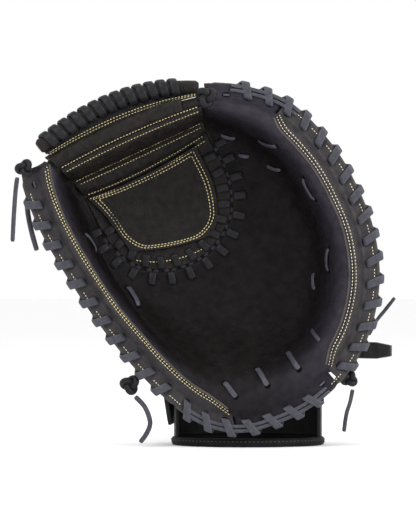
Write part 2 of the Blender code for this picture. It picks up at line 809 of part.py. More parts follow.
def back_leather(name, first, last, target, target_out, left_depth, right_depth, bulge, columns, end_rows,
                 lead=0.45):
    """A shell from the rim flange round the side to an open inner edge, arched across."""
    shares = spread(first, last, columns)
    outer = []
    for index, share in enumerate(shares):
        across = index / (columns - 1)
        rim = read_table(RIM_DEPTH, share) + FLANGE_BACK + LEATHER
        full = left_depth + (right_depth - left_depth) * across + bulge * math.sin(math.pi * across) ** 0.7
        line = spoke(share, target, target_out, lead)
        flat = BACK_ROWS[2]
        fit = min((line.length - 2 - flat) / (BACK_ROWS[-1] - flat), 1)
        turned = [flat + (value - flat) * fit if value > flat else value for value in BACK_ROWS]
        insets = turned + spread(turned[-1], line.length, end_rows)[1:]
        row = []
        for inset in insets:
            plan = line.at(inset / line.length)
            turn = read_table(BACK_TURN, inset)
            row.append(Vector((plan.x, rim + (full - rim) * turn, plan.y)))
        outer.append(row)
    directions = []
    for column, row in enumerate(outer):
        line = []
        for index, point in enumerate(row):
            a = row[min(index + 1, len(row) - 1)] - row[max(index - 1, 0)]
            side = outer[min(column + 1, columns - 1)][index] - outer[max(column - 1, 0)][index]
            normal = a.cross(side).normalized()
            if normal.y < 0:
                normal = -normal
            line.append(Vector((0, 1, 0)) if index <= 2 else normal)
        directions.append(line)
    for _ in range(SMOOTH_PASSES):
        directions = [
            [evened(directions, column, index) if index > 2 else way for index, way in enumerate(line)]
            for column, line in enumerate(directions)
        ]
    inner = [
        [point - way * LEATHER for point, way in zip(row, line)] for row, line in zip(outer, directions)
    ]
    return sheet(name, outer, inner, "shell")


RIM_SHARES = [0.016, between_holes(RIM.nearest((62, 278))), between_holes(RIM.nearest((98, 246))),
              between_holes(RIM.nearest((122, 206))), between_holes(RIM.nearest((138, 140)))]
NAMES = ("index_stall", "middle_stall", "ring_stall", "little_stall")
GAP_SHARE = 0.35 / RIM.length


def line_target(points, first, last):
    """A curve whose share matches the rim's share between two places."""
    curve = Curve(points)

    class Target:
        @staticmethod
        def at(share):
            return curve.at((share - first) / (last - first))

        @staticmethod
        def heading(share):
            return curve.heading((share - first) / (last - first))

    return Target()


targets = []
for index, name in enumerate(NAMES):
    first = RIM_SHARES[index] + GAP_SHARE
    last = RIM_SHARES[index + 1] - GAP_SHARE
    a = Vector(STALL_BASE[index])
    b = Vector(STALL_BASE[index + 1])
    inset_way = (b - a).normalized() * 0.5
    target = line_target((a + inset_way, (a + b) / 2, b - inset_way), first, last)
    targets.append(target)
    stall = back_leather(name, first, last, target, (0.05, 1.0), 24 if index == 0 else 36, 36, 9, 7, 4)
    cut(stall, holes_in(first, last, name + "_holes"))

side_first = RIM_SHARES[-1] + GAP_SHARE
side_last = HEEL_SPAN[0] - 0.018
side_target = line_target(((101, 83), (88, 76), (72, 66)), side_first, side_last)
side_back = back_leather("little_finger_side", side_first, side_last, side_target, (1.0, 0.9), 36, 30, 2, 7, 3, lead=0.3)
cut(side_back, holes_in(side_first, side_last, "side_holes"))

thumb_first = HEEL_SPAN[1] + 0.016
thumb_target = line_target(THUMB_INNER, thumb_first, 0.98)
targets += [side_target, thumb_target]
thumb_back = back_leather("thumb_back", thumb_first, 0.98, thumb_target, (-0.6, -0.5), 34, 6, 16, 13, 4)
cut(thumb_back, holes_in(thumb_first, 0.98, "thumb_back_holes"))

# ---------------------------------------------------------------- wrist opening
RING_CENTRE = Vector((35, 15))
RING_HALF = Vector((59, 37))


def ring_point(turn, grow, height):
    return Vector((
        RING_CENTRE.x + (RING_HALF.x + grow) * math.cos(turn),
        RING_CENTRE.y + (RING_HALF.y + grow) * math.sin(turn),
        height,
    ))


sections = []
for index in range(28):
    turn = math.tau * index / 28
    half = BINDING_WIDE / 2
    sections.append([
        ring_point(turn, half - 1.2, 0), ring_point(turn, half, 2.2), ring_point(turn, half, BINDING_TALL - 2),
        ring_point(turn, half - 1.2, BINDING_TALL), ring_point(turn, 1.2 - half, BINDING_TALL),
        ring_point(turn, -half, BINDING_TALL - 2), ring_point(turn, -half, 2.2),
        ring_point(turn, 1.2 - half, 0),
    ])
loft("wrist_binding", sections, "band", ring=True)

band_turns = spread(math.radians(-14), math.radians(194), 19)


def band_grid(grow):
    grid = []
    for turn in band_turns:
        top = 50 - 10 * abs(math.cos(turn))
        grid.append([ring_point(turn, grow, height) for height in spread(BINDING_TALL + 0.4, top, 3)])
    return grid


sheet("wrist_band", band_grid(BAND_THICK / 2), band_grid(-BAND_THICK / 2), "shell")

STRAP_TAPER = 0.22
STRAP_LINE = Curve(((-29.5, 17, 33), (-20.5, 38, 36), (6, 55, 42), (36, 60, 50), (66, 57, 60), (92, 50, 69),
                    (112, 44, 75)))
STRAP_UP = Vector((-0.12, 0, 1)).normalized()


def strap_frame(share):
    ahead = STRAP_LINE.heading(share, 0.02)
    up = (STRAP_UP - ahead * STRAP_UP.dot(ahead)).normalized()
    return STRAP_LINE.at(share), ahead, up, ahead.cross(up)


def strap_solid(name, shares, wide, thick, lift, look):
    """A flat strap along the strap line, narrowing toward its right end."""
    sections = []
    for share in shares:
        centre, ahead, up, out = strap_frame(share)
        if out.dot(centre - Vector((RING_CENTRE.x, RING_CENTRE.y, centre.z))) < 0:
            out = -out
        w = up * wide / 2 * (1 - STRAP_TAPER * share)
        base = centre + out * lift
        sections.append([base + w, base + w + out * thick, base - w + out * thick, base - w])
    loft(name, sections, look, smooth=False)


strap_shares = spread(0, 0.93, 14)
strap_solid("wrist_strap", strap_shares, STRAP_WIDE, STRAP_THICK, 0, "shell")
strap_solid("strap_facing", strap_shares[2:-1], STRAP_WIDE - 9, 2.0, STRAP_THICK + STEP_GAP, "fleece")

# ---------------------------------------------------------------- strap tail on its lace pin
PIN_AT = Vector((117.5, 41, 76.5))
PIN_RADIUS = 1.7
PIN_HALF = 12.0
LOOP_RADIUS = PIN_RADIUS + 0.5 + 1.1
LOOP_THICK = 2.2
TAIL_END = Vector((153.5, 13.5, 76.5))
TAIL_HALF = 6.5
KNUCKLE_GAP = 0.5


def revolve(name, centre, profile, look, corners=14):
    """A turned solid: profile rows are (radius, height) up the vertical axis."""
    sections = []
    for radius, height in profile:
        sections.append([
            centre + Vector((radius * math.cos(turn), radius * math.sin(turn), height))
            for turn in (math.tau * corner / corners for corner in range(corners))
        ])
    return loft(name, sections, look)


revolve("strap_pin_lace", PIN_AT, (
    (2.2, -PIN_HALF - 3.4), (3.3, -PIN_HALF - 2.4), (3.3, -PIN_HALF - 0.8), (PIN_RADIUS, -PIN_HALF - 0.5),
    (PIN_RADIUS, PIN_HALF + 0.5), (3.3, PIN_HALF + 0.8), (3.3, PIN_HALF + 2.4), (2.2, PIN_HALF + 3.4),
), "lace")


def hairpin(name, far, low, high, look, turn_way, thick=LOOP_THICK, extra=()):
    """A leather strip that runs to the pin and wraps round it."""
    centre = Vector((PIN_AT.x, PIN_AT.y))
    toward = (centre - Vector((far[0], far[1]))).normalized()
    side = Vector((-toward.y, toward.x)) * turn_way
    radius = PIN_RADIUS + 0.5 + thick / 2
    path = [Vector((far[0], far[1])) + side * radius] + [Vector(spot) for spot in extra]
    for angle in spread(0, math.radians(255), 12):
        path.append(centre + side * radius * math.cos(angle) + toward * radius * math.sin(angle))
    front = []
    back = []
    for index, point in enumerate(path):
        ahead = (path[min(index + 1, len(path) - 1)] - path[max(index - 1, 0)]).normalized()
        across = Vector((-ahead.y, ahead.x)) * thick / 2
        for grid, spot in ((front, point + across), (back, point - across)):
            grid.append([Vector((spot.x, spot.y, height)) for height in (low, high)])
    return sheet(name, front, back, look)


low = PIN_AT.z - TAIL_HALF
high = PIN_AT.z + TAIL_HALF
hairpin("strap_tail", (TAIL_END.x, TAIL_END.y), low, high, "tab", 1)
hairpin("upper_strap_loop", (103, 51.5), high + KNUCKLE_GAP, PIN_AT.z + PIN_HALF, "tab", 1)
hairpin("lower_strap_loop", (103, 51.5), PIN_AT.z - PIN_HALF, low - KNUCKLE_GAP, "tab", 1)

# ---------------------------------------------------------------- loops inside the hand opening
def finger_loop(name, centre, axis_way, radius, wide, thick=1.8, sweep=250):
    axis = Vector(axis_way).normalized()
    first = axis.cross(Vector((0, 1, 0))).normalized()
    second = axis.cross(first)
    front = []
    back = []
    for angle in spread(math.radians(-sweep / 2), math.radians(sweep / 2), 15):
        out = second * math.cos(angle) + first * math.sin(angle)
        for grid, reach in ((front, radius + thick), (back, radius)):
            spot = Vector(centre) + out * reach
            grid.append([spot + axis * wide / 2, spot - axis * wide / 2])
    return sheet(name, front, back, "tab")


finger_loop("little_finger_loop", (70, 28.0, 112), (0, 0, -1), 10.5, 13)
finger_loop("thumb_loop", (-28, 27.5, 100), (0, 0, -1), 9.0, 12)

# ---------------------------------------------------------------- knots and loose lace ends
KNOT_STEPS = 30
KNOT_DEEP = 1.25


def knot(name, centre, scale, radius, tilt=0.0):
    path = []
    for index in range(KNOT_STEPS):
        t = math.tau * index / KNOT_STEPS
        x = math.sin(t) + 2 * math.sin(2 * t)
        z = math.cos(t) - 2 * math.cos(2 * t)
        y = -math.sin(3 * t) * KNOT_DEEP
        spot = Vector((x * math.cos(tilt) - z * math.sin(tilt), y, x * math.sin(tilt) + z * math.cos(tilt)))
        path.append(Vector(centre) + spot * scale)
    sections = []
    for index, point in enumerate(path):
        along = (path[(index + 1) % KNOT_STEPS] - path[index - 1]).normalized()
        across = (Vector((0, 1, 0)) - along * along.y).normalized()
        up = along.cross(across)
        sections.append([
            point + (across * math.cos(turn) + up * math.sin(turn)) * radius
            for turn in (math.tau * corner / 5 for corner in range(5))
        ])
    return loft(name, sections, "lace", ring=True)


def loose_end(name, points, diameter):
    curve = Curve(points)
    count = max(round(curve.length / (diameter * 2)), 4)
    path = [curve.at(part) for part in spread(0, 1, count + 1)]
    return tube(name, path, diameter / 2, "lace", corners=8, first_side=Vector((0.2, 1, 0.1)))


knot("web_corner_knot", (1, -50.5, 280), 2.5, 1.35)
knot("thumb_tip_knot", (-143, -51.5, 223), 2.1, 1.15, 0.6)
knot("thumb_heel_knot", (-60, -25, 50.5), 2.3, 1.25, 0.3)
knot("finger_side_knot", (116, -19, 55), 2.0, 1.1, 0.9)
loose_end("thumb_tip_lace", ((-149, -48, 216), (-150.5, -46.5, 205), (-152, -45, 185), (-153, -45, 165)), 3.6)
loose_end("thumb_side_lace", ((-143, -20, 196), (-142, -20, 186), (-139, -21, 172), (-135, -22, 158)), 4.2)
loose_end("thumb_heel_lace", ((-56, -24, 41), (-48, -24, 32), (-44, -24, 20), (-47, -23, 11), (-52, -22, 4)), 4.0)
loose_end("finger_heel_lace", ((119, -14, 46), (117, -13, 36), (114, -12, 26), (112, -12, 12)), 3.4)
loose_end("finger_side_lace", ((132, -12, 90), (138, -12, 101), (146, -12, 111), (153, -12, 120)), 3.0)
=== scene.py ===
import json
import math

import bpy
import numpy as np
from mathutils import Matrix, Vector, noise
from mathutils.bvhtree import BVHTree


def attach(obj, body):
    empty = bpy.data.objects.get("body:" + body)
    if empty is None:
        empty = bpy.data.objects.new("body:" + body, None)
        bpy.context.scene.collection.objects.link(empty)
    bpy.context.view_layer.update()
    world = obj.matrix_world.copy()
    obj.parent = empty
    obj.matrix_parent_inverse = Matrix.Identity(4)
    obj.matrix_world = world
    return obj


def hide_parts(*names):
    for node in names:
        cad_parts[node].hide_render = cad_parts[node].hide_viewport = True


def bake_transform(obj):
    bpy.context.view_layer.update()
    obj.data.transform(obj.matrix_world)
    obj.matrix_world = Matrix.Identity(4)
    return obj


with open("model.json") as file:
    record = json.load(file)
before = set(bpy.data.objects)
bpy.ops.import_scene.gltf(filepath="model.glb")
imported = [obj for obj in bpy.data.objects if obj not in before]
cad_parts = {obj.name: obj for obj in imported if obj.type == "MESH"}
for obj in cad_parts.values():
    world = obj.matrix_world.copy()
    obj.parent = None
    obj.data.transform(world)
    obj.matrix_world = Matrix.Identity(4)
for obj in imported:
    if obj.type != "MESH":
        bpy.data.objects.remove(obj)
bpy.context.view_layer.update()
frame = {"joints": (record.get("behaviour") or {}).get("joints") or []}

# ---- the frame, in millimetres
MM = 0.001
JOINTS = {joint["name"]: joint for joint in frame["joints"]}
FOLD_AT = Vector((28, 0, 18))
MIDDLE = FOLD_AT - Vector(JOINTS["mitt_close"]["pos_m"]) / MM
MIDDLE.z = 0
FOLD_WAY = Vector(JOINTS["mitt_close"]["axis"]).normalized()
FOLD_ACROSS = Vector((FOLD_WAY.z, 0, -FOLD_WAY.x))
FOLD_MIDDLE = Vector((-18, 0, 150))
FOLD_HALF = 45.0
FINE = 1.0


def to_frame(point):
    return (Vector(point) - MIDDLE) * MM


# ---- driving dimensions
LEATHER = 2.0
SEAM_GAP = 0.35
WELT_THICK = 1.7
WELT_OUT = 1.6
WELT_IN = 4.2
FLANGE_BACK = 4.3
LACE_WIDTH = 7.2
LACE_THICK = 2.4
LACE_CLEAR = 1.75
HOLE_INSET = 8.3
RIM_OUTSIDE = 3.9
PAD_BEHIND = 2.9
FLOOR_BEHIND = 2.9
LACE_PITCH = 18.5
LACE_LEAN = 0.34
WEB_LACE_PITCH = 15.0
BAND_WIDTH_FINGER = 20.0
BAND_WIDTH_THUMB = 23.0
BAND_END_WIDTH = 11.5
BAR_RADIUS = 6.2
BAR_LIFT = 9.6
BAR_ARCH = 6.5
ROLL_HEIGHT = 5.8
ROLL_LIFT = 1.4
D_PANEL_THICK = 3.0
STITCH_PITCH = 2.9
STITCH_SIZE = (0.85, 0.36, 0.3)
WEB_STITCH = (0.85, 0.34, 0.3)
PINCH_DEPTH = 0.9
PINCH_HALF = 4.4

RIM_POINTS = (
    (0, 291), (32, 288), (68, 275), (100, 243), (120, 210), (134, 174), (138.5, 134), (131, 94),
    (113, 60), (85, 34), (53, 19), (24, 13.5), (-8, 23), (-44, 53), (-76, 90), (-104, 130),
    (-128, 170), (-142, 203), (-147, 226),
)
WEB_POINTS = (
    (-1, 282), (-1, 268), (3, 253), (10, 238), (18, 222), (22, 205), (22, 190), (17, 175), (9, 162),
    (-4, 151), (-19, 144), (-36, 141), (-54, 144), (-71, 155), (-84, 171), (-95, 192), (-106, 210),
    (-117, 222), (-129, 231),
)
STALL_BASE = ((24, 128), (44, 116), (64, 106), (84, 96), (100, 84))
THUMB_INNER = ((8, 62), (-22, 88), (-52, 122), (-78, 160), (-98, 196), (-122, 224))
SIDE_PROFILE = (
    (-6, 0), (0, 0), (9.5, 0), (12.5, -2.5), (15, -7), (19, -11.5), (24, -13), (29, -11.5), (33, -7),
    (36.5, 1), (40, 11), (44, 22), (50, 33), (58, 40), (70, 44), (90, 46), (260, 47),
)
HEEL_PROFILE = (
    (-6, 0), (0, 0), (10, 0), (14, -2.5), (20, -6), (28, -8), (38, -7), (50, -1), (64, 9), (80, 21),
    (98, 32), (120, 41), (150, 46), (260, 47),
)
ROLL_FADE = ((0, 0.1), (0.06, 1), (0.92, 1), (1, 0.25))
RIM_DEPTH = ((0, -42), (0.05, -37), (0.12, -33), (0.35, -30), (0.6, -31), (0.75, -33), (0.9, -37), (1, -42))
HEEL_SHARE = ((0, 0), (0.40, 0), (0.50, 0.6), (0.56, 1), (0.64, 1), (0.72, 0.35), (0.80, 0), (1, 0))
BACK_TURN = ((0, 0), (10.2, 0), (12.5, 0.05), (14.5, 0.24), (17, 0.52), (23, 0.82), (34, 1), (300, 1))


def read_table(table, at):
    """A smooth value between the table's rows."""
    last = len(table) - 1
    for index in range(last):
        if at <= table[index + 1][0] or index == last - 1:
            break
    before, start, end, after = (
        table[max(index - 1, 0)], table[index], table[index + 1], table[min(index + 2, last)])
    span = end[0] - start[0]
    share = min(max((at - start[0]) / span, 0), 1)
    rise_in = (end[1] - before[1]) / max(end[0] - before[0], 1e-6) * span
    rise_out = (after[1] - start[1]) / max(after[0] - start[0], 1e-6) * span
    if (end[1] - start[1]) * rise_in <= 0:
        rise_in = 0
    if (end[1] - start[1]) * rise_out <= 0:
        rise_out = 0
    square = share * share
    cube = square * share
    return ((2 * cube - 3 * square + 1) * start[1] + (cube - 2 * square + share) * rise_in
            + (3 * square - 2 * cube) * end[1] + (cube - square) * rise_out)


class Curve:
    """A smooth line through points, read by its share of the length."""

    def __init__(self, points, steps=10):
        given = [Vector(point) for point in points]
        ends = [2 * given[0] - given[1]] + given + [2 * given[-1] - given[-2]]
        self.points = []
        for index in range(1, len(ends) - 2):
            a, b, c, d = ends[index - 1 : index + 3]
            for step in range(steps):
                share = step / steps
                self.points.append(
                    0.5 * (2 * b + (c - a) * share + (2 * a - 5 * b + 4 * c - d) * share**2
                           + (3 * b - a - 3 * c + d) * share**3))
        self.points.append(given[-1])
        self.along = [0.0]
        for a, b in zip(self.points, self.points[1:]):
            self.along.append(self.along[-1] + (b - a).length)
        self.length = self.along[-1]

    def at(self, share):
        distance = min(max(share, 0), 1) * self.length
        low = 0
        high = len(self.along) - 1
        while high - low > 1:
            middle = (low + high) // 2
            if self.along[middle] <= distance:
                low = middle
            else:
                high = middle
        part = (distance - self.along[low]) / max(self.along[high] - self.along[low], 1e-9)
        return self.points[low].lerp(self.points[high], part)

    def heading(self, share, step=0.004):
        return (self.at(share + step) - self.at(share - step)).normalized()

    def nearest(self, point):
        target = Vector(point)
        best = min(range(len(self.points)), key=lambda index: (self.points[index] - target).length)
        return self.along[best] / self.length


RIM = Curve(RIM_POINTS)
WEB = Curve(WEB_POINTS)
SPOKES = {}


def spread(start, end, count):
    return [start + (end - start) * index / (count - 1) for index in range(count)]


def right_of(direction):
    return Vector((direction.y, -direction.x))


def in_space(plan, depth=0):
    """A plan point or direction stood up in space, at a depth."""
    return Vector((plan.x, depth, plan.y))


def spoke(share, target=WEB, target_out=None, lead=0.45):
    """The line across the leather from the rim to the web edge, square to both."""
    key = (round(share, 5), id(target))
    if key not in SPOKES:
        start = RIM.at(share)
        end = target.at(share)
        reach = (end - start).length
        late = min(max((share - 0.70) / 0.08, 0), 1) if target is WEB else 0
        leave = start + right_of(RIM.heading(share)) * min((lead - late * 0.1) * reach, 42)
        arrive_way = -right_of(target.heading(share)) if target_out is None else Vector(target_out)
        arrive = end + arrive_way * min((0.3 - late * 0.14) * reach, 28)
        line = [start * (1 - u) ** 3 + leave * 3 * u * (1 - u) ** 2
                + arrive * 3 * u * u * (1 - u) + end * u**3 for u in spread(0, 1, 25)]
        SPOKES[key] = Curve(line, 1)
    return SPOKES[key]


def plan_point(share, inset):
    if inset < 0:
        return RIM.at(share) + right_of(RIM.heading(share)) * inset
    line = spoke(share)
    return line.at(inset / line.length)


def face_depth(share, inset):
    heel = read_table(HEEL_SHARE, share)
    side = read_table(SIDE_PROFILE, inset)
    if side < 0:
        side *= read_table(ROLL_FADE, share)
    low = read_table(HEEL_PROFILE, inset)
    return read_table(RIM_DEPTH, share) + side * (1 - heel) + low * heel


def face_point(share, inset):
    """A point on the front of the palm leather."""
    return in_space(plan_point(share, inset), face_depth(share, inset))


def face_normal(share, inset):
    """The direction out of the front face there, toward the ball."""
    step = 0.6
    a = face_point(share, max(inset, 0) + step) - face_point(share, max(max(inset, 0) - step, 0))
    low = min(max(share - 0.003, 0), 0.994)
    b = face_point(low + 0.006, inset) - face_point(low, inset)
    normal = a.cross(b).normalized()
    return normal if normal.y < 0 else -normal


# ---- camera, the first thing made
PHOTO_TALL = 520
MM_PER_DOT = 0.8
CAMERA_BACK = 2.4
RIM_PLANE = -0.036
VIEW_CENTRE = (0.0014, 0.1504)
camera_data = bpy.data.cameras.new("camera")
camera = bpy.data.objects.new("camera", camera_data)
bpy.context.scene.collection.objects.link(camera)
camera.location = (VIEW_CENTRE[0], -CAMERA_BACK, VIEW_CENTRE[1])
camera.rotation_euler = (math.pi / 2, 0, 0)
camera_data.sensor_width = 36
camera_data.lens = 36 * (CAMERA_BACK + RIM_PLANE) / (PHOTO_TALL * MM_PER_DOT * MM)
camera_data.clip_end = 50
bpy.context.scene.camera = camera


# ---- materials
def linear(red, green, blue):
    """A screen colour, 0 to 255, as the shader's linear colour."""
    return tuple(((c / 255 + 0.055) / 1.055) ** 2.4 if c > 10 else c / 255 / 12.92
                 for c in (red, green, blue)) + (1,)


def material(name, dark, light, rough=(0.45, 0.6), grain=1100, bump=0.25, mottle=140, crease=0.3,
             sheen=0.0, attribute=None, specular=0.2):
    """Leather, lace or cloth: mottled colour, a fine grain and soft creases, all from noise."""
    dark = linear(*dark)
    light = linear(*light)
    made = bpy.data.materials.new(name)
    made.use_nodes = True
    nodes = made.node_tree.nodes
    links = made.node_tree.links
    shader = nodes["Principled BSDF"]
    shader.inputs["Specular IOR Level"].default_value = specular
    shader.inputs["Sheen Weight"].default_value = sheen
    shader.inputs["Sheen Roughness"].default_value = 0.5
    place = nodes.new("ShaderNodeTexCoord")

    def noise_at(scale, detail, warp=0.0):
        node = nodes.new("ShaderNodeTexNoise")
        node.inputs["Scale"].default_value = scale
        node.inputs["Detail"].default_value = detail
        node.inputs["Distortion"].default_value = warp
        links.new(place.outputs["Object"], node.inputs["Vector"])
        return node.outputs["Fac"]

    def ranged(source, low, high, out_low, out_high):
        node = nodes.new("ShaderNodeMapRange")
        values = (low, high, out_low, out_high)
        for socket, value in zip(("From Min", "From Max", "To Min", "To Max"), values):
            node.inputs[socket].default_value = value
        links.new(source, node.inputs["Value"])
        return node.outputs["Result"]

    def mixed(factor, first, second):
        node = nodes.new("ShaderNodeMix")
        node.data_type = "RGBA"
        for socket, value in ((6, first), (7, second)):
            if isinstance(value, tuple):
                node.inputs[socket].default_value = value
            else:
                links.new(value, node.inputs[socket])
        links.new(factor, node.inputs[0])
        return node.outputs[2]

    patches = ranged(noise_at(mottle, 6, 0.4), 0.3, 0.72, 0, 1)
    colour = mixed(patches, dark, light)
    rough_at = ranged(noise_at(mottle * 2.3, 4), 0.3, 0.7, rough[0], rough[1])
    # Mixed by the palm's attribute: bluish roll leather on the walls, and a darker pocket floor that is
    # partly painted shade of the pocket's depth.
    if attribute:
        roll_tone_and_shade = nodes.new("ShaderNodeAttribute")
        roll_tone_and_shade.attribute_name = "roll_tone_and_shade"
        toned = mixed(patches, *(linear(*screen) for screen in attribute))
        colour = mixed(roll_tone_and_shade.outputs["Fac"], colour, toned)
    # Lighter on convex edges, by pointiness.
    surface_geometry = nodes.new("ShaderNodeNewGeometry")
    edge = ranged(surface_geometry.outputs["Pointiness"], 0.52, 0.62, 0, 0.35)
    colour = mixed(edge, colour, tuple(min(c * 2.2 + 0.01, 1) for c in light[:3]) + (1,))
    links.new(colour, shader.inputs["Base Color"])
    links.new(rough_at, shader.inputs["Roughness"])
    height = nodes.new("ShaderNodeMath")
    height.operation = "MULTIPLY_ADD"
    links.new(noise_at(mottle * 1.6, 5, 1.1), height.inputs[0])
    height.inputs[1].default_value = crease * 4
    links.new(noise_at(grain, 3), height.inputs[2])
    raised = nodes.new("ShaderNodeBump")
    raised.inputs["Strength"].default_value = bump
    raised.inputs["Distance"].default_value = 0.0006
    links.new(height.outputs[0], raised.inputs["Height"])
    links.new(raised.outputs["Normal"], shader.inputs["Normal"])
    return made


LOOKS = {
    # Palm: the deep pocket's dark colour is partly painted shade; the lighter bluish wall colours are the
    # roll leather's own.
    "palm": material("pocket_leather", (12, 10, 10), (24, 21, 21), (0.4, 0.56), bump=0.8,
                     attribute=((38, 35, 42), (50, 47, 55)), specular=0.07),
    "band": material("band_leather", (36, 34, 36), (54, 51, 53), (0.4, 0.56), bump=0.5),
    "shell": material("shell_leather", (24, 23, 25), (36, 35, 37), (0.4, 0.55), bump=0.5,
                      specular=0.12),
    "web": material("web_leather", (16, 14, 14), (33, 30, 28), (0.34, 0.5), bump=0.9, mottle=190,
                    specular=0.11),
    "lace": material("lace_leather", (48, 48, 54), (66, 66, 74), (0.36, 0.5), grain=900, bump=0.4,
                     mottle=260),
    # A darker copy of the lace leather, painted shade, for the top wraps, the pocket lacing and the knots.
    "wrap": material("lace_leather_painted_shade_copy", (17, 17, 19), (28, 28, 32), (0.34, 0.46), grain=900, bump=0.35,
                     mottle=260, specular=0.14),
    "binding": material("binding_leather", (14, 14, 15), (24, 23, 25), (0.45, 0.6), bump=0.5, specular=0.08),
    "edge": material("raw_leather_edge", (50, 48, 46), (74, 70, 66), (0.6, 0.8), bump=0.3),
    "cream": material("cream_thread", (186, 174, 138), (212, 200, 166), (0.55, 0.7), grain=3000, bump=0.3),
    "gold": material("gold_thread", (178, 160, 112), (208, 192, 142), (0.5, 0.65), grain=3000, bump=0.3),
    "felt": material("felt_padding", (150, 146, 138), (182, 178, 170), (0.9, 1.0), grain=1500, bump=0.8,
                     sheen=0.4),
    "fleece": material("lining_fleece", (44, 44, 48), (66, 66, 72), (0.9, 1.0), grain=1700, bump=0.9,
                       sheen=0.5),
    "tab": material("tab_leather", (48, 48, 49), (64, 64, 66), (0.42, 0.58), bump=0.4),
    # Painted shade: dark discs at the lace holes and a dark strip in each seam channel.
    "painted_shade": material("painted_hole_and_channel_shade", (4, 4, 4), (8, 8, 8), (0.9, 1.0), bump=0.1, specular=0.05),
}


# ---- shapes: (points, faces)
def unit(vectors):
    return vectors / np.maximum(np.linalg.norm(vectors, axis=-1, keepdims=True), 1e-9)


def grid_faces(rows, columns, start=0):
    index = np.arange(rows * columns).reshape(rows, columns) + start
    return np.stack([index[:-1, :-1], index[1:, :-1], index[1:, 1:], index[:-1, 1:]], -1).reshape(-1, 4)


def grid_normals(grid, toward):
    """Unit normals of a grid of points, on the side that has the given sign of Y."""
    normals = unit(np.cross(np.gradient(grid, axis=0), np.gradient(grid, axis=1)))
    return normals * (1 if normals[..., 1].mean() * toward > 0 else -1)


def thick_sheet(front, back, round_out=0.6):
    """A closed sheet between two grids, with a rounded edge all round."""
    front = np.array(front, float)
    back = np.array(back, float)
    rows, columns = front.shape[:2]
    count = rows * columns
    index = np.arange(count).reshape(rows, columns)
    loop = np.concatenate([index[0, :-1], index[:-1, -1], index[-1, :0:-1], index[:0:-1, 0]])
    flat_front = front.reshape(-1, 3)
    flat_back = back.reshape(-1, 3)
    row, column = loop // columns, loop % columns
    inner = np.clip(row, 1, rows - 2) * columns + np.clip(column, 1, columns - 2)
    out = unit(flat_front[loop] - flat_front[inner])
    middle = (flat_front[loop] + flat_back[loop]) / 2 + out * round_out
    after = np.roll(np.arange(len(loop)), -1)
    start = count * 2
    quads = grid_faces(rows, columns)
    faces = np.concatenate([
        quads, quads[:, ::-1] + count,
        np.stack([loop, loop[after], start + after, start + np.arange(len(loop))], -1),
        np.stack([start + np.arange(len(loop)), start + after, loop[after] + count, loop + count], -1),
    ])
    points = np.concatenate([flat_front, flat_back, middle])
    triangles = np.concatenate([faces[:, [0, 1, 2]], faces[:, [0, 2, 3]]])
    a, b, c = (points[triangles[:, corner]] for corner in range(3))
    if (a * np.cross(b, c)).sum() < 0:
        faces = faces[:, ::-1]
    return points, faces.tolist()


def loft(sections, ring=False, caps=True):
    """A solid through closed sections of the same number of points."""
    sections = np.array(sections, float)
    spans, corners = sections.shape[:2]
    points = sections.reshape(-1, 3)
    index = np.arange(spans * corners).reshape(spans, corners)
    there = np.roll(index, -1, axis=0)
    stop = spans if ring else spans - 1
    faces = np.stack([index[:stop], np.roll(index, -1, axis=1)[:stop], np.roll(there, -1, axis=1)[:stop],
                      there[:stop]], -1).reshape(-1, 4)
    triangles = np.concatenate([faces[:, [0, 1, 2]], faces[:, [0, 2, 3]]])
    a, b, c = (points[triangles[:, corner]] - points.mean(axis=0) for corner in range(3))
    flip = (a * np.cross(b, c)).sum() < 0
    faces = faces.tolist()
    if caps and not ring:
        faces += [index[0, ::-1].tolist(), index[-1].tolist()]
    if flip:
        faces = [face[::-1] for face in faces]
    return points, faces


def frames(path, sides, ring, slanted):
    """The directions across a path and out of it at each point. A slanted lace shears and doesn't twist."""
    along = unit(np.roll(path, -1, axis=0) - np.roll(path, 1, axis=0) if ring else np.gradient(path, axis=0))
    if slanted:
        sides = unit(sides)
        along = unit(along - sides * (along * sides).sum(-1, keepdims=True))
    across = unit(sides - along * (sides * along).sum(-1, keepdims=True))
    return across, np.cross(along, across)


def across_line(path, normals):
    """The direction across a line that lies on a surface with those normals."""
    return np.cross(normals, unit(np.gradient(path, axis=0)))


def strip(path, sides, width, thick, square=0.55, corners=12, ring=False, ends=True, slanted=False):
    """A flat lace or strap: a rounded oblong carried along a path."""
    path = np.array(path, float)
    across, out = frames(path, np.array(sides, float), ring, slanted)
    turn = np.arange(corners) * math.tau / corners + math.pi / corners
    wide = np.sign(np.cos(turn)) * np.abs(np.cos(turn)) ** square / 2
    tall = np.sign(np.sin(turn)) * np.abs(np.sin(turn)) ** square / 2
    width = np.broadcast_to(width, len(path))
    thick = np.broadcast_to(thick, len(path))
    sections = (path[:, None] + across[:, None] * (wide[None, :, None] * width[:, None, None])
                + out[:, None] * (tall[None, :, None] * thick[:, None, None]))
    if ends and not ring:
        for end, inner in ((0, 1), (-1, -2)):
            sections[end] = path[end] + (sections[end] - path[end]) * 0.72
    return loft(sections, ring)


def rounded(path, sides, cut, steps=4):
    """The same path with each corner turned on a small arc."""
    path = [Vector(point) for point in path]
    sides = [Vector(side) for side in sides]
    points, ways = [path[0]], [sides[0]]
    for index in range(1, len(path) - 1):
        before, here, after = path[index - 1 : index + 2]
        into = (before - here).length
        out = (after - here).length
        start = here.lerp(before, min(cut / max(into, 1e-6), 0.5))
        end = here.lerp(after, min(cut / max(out, 1e-6), 0.5))
        for u in spread(0, 1, steps):
            points.append(start * (1 - u) ** 2 + here * 2 * u * (1 - u) + end * u * u)
            ways.append(sides[index])
    return points + [path[-1]], ways + [sides[-1]]


TURNS = 8
STITCH_ROWS = 4


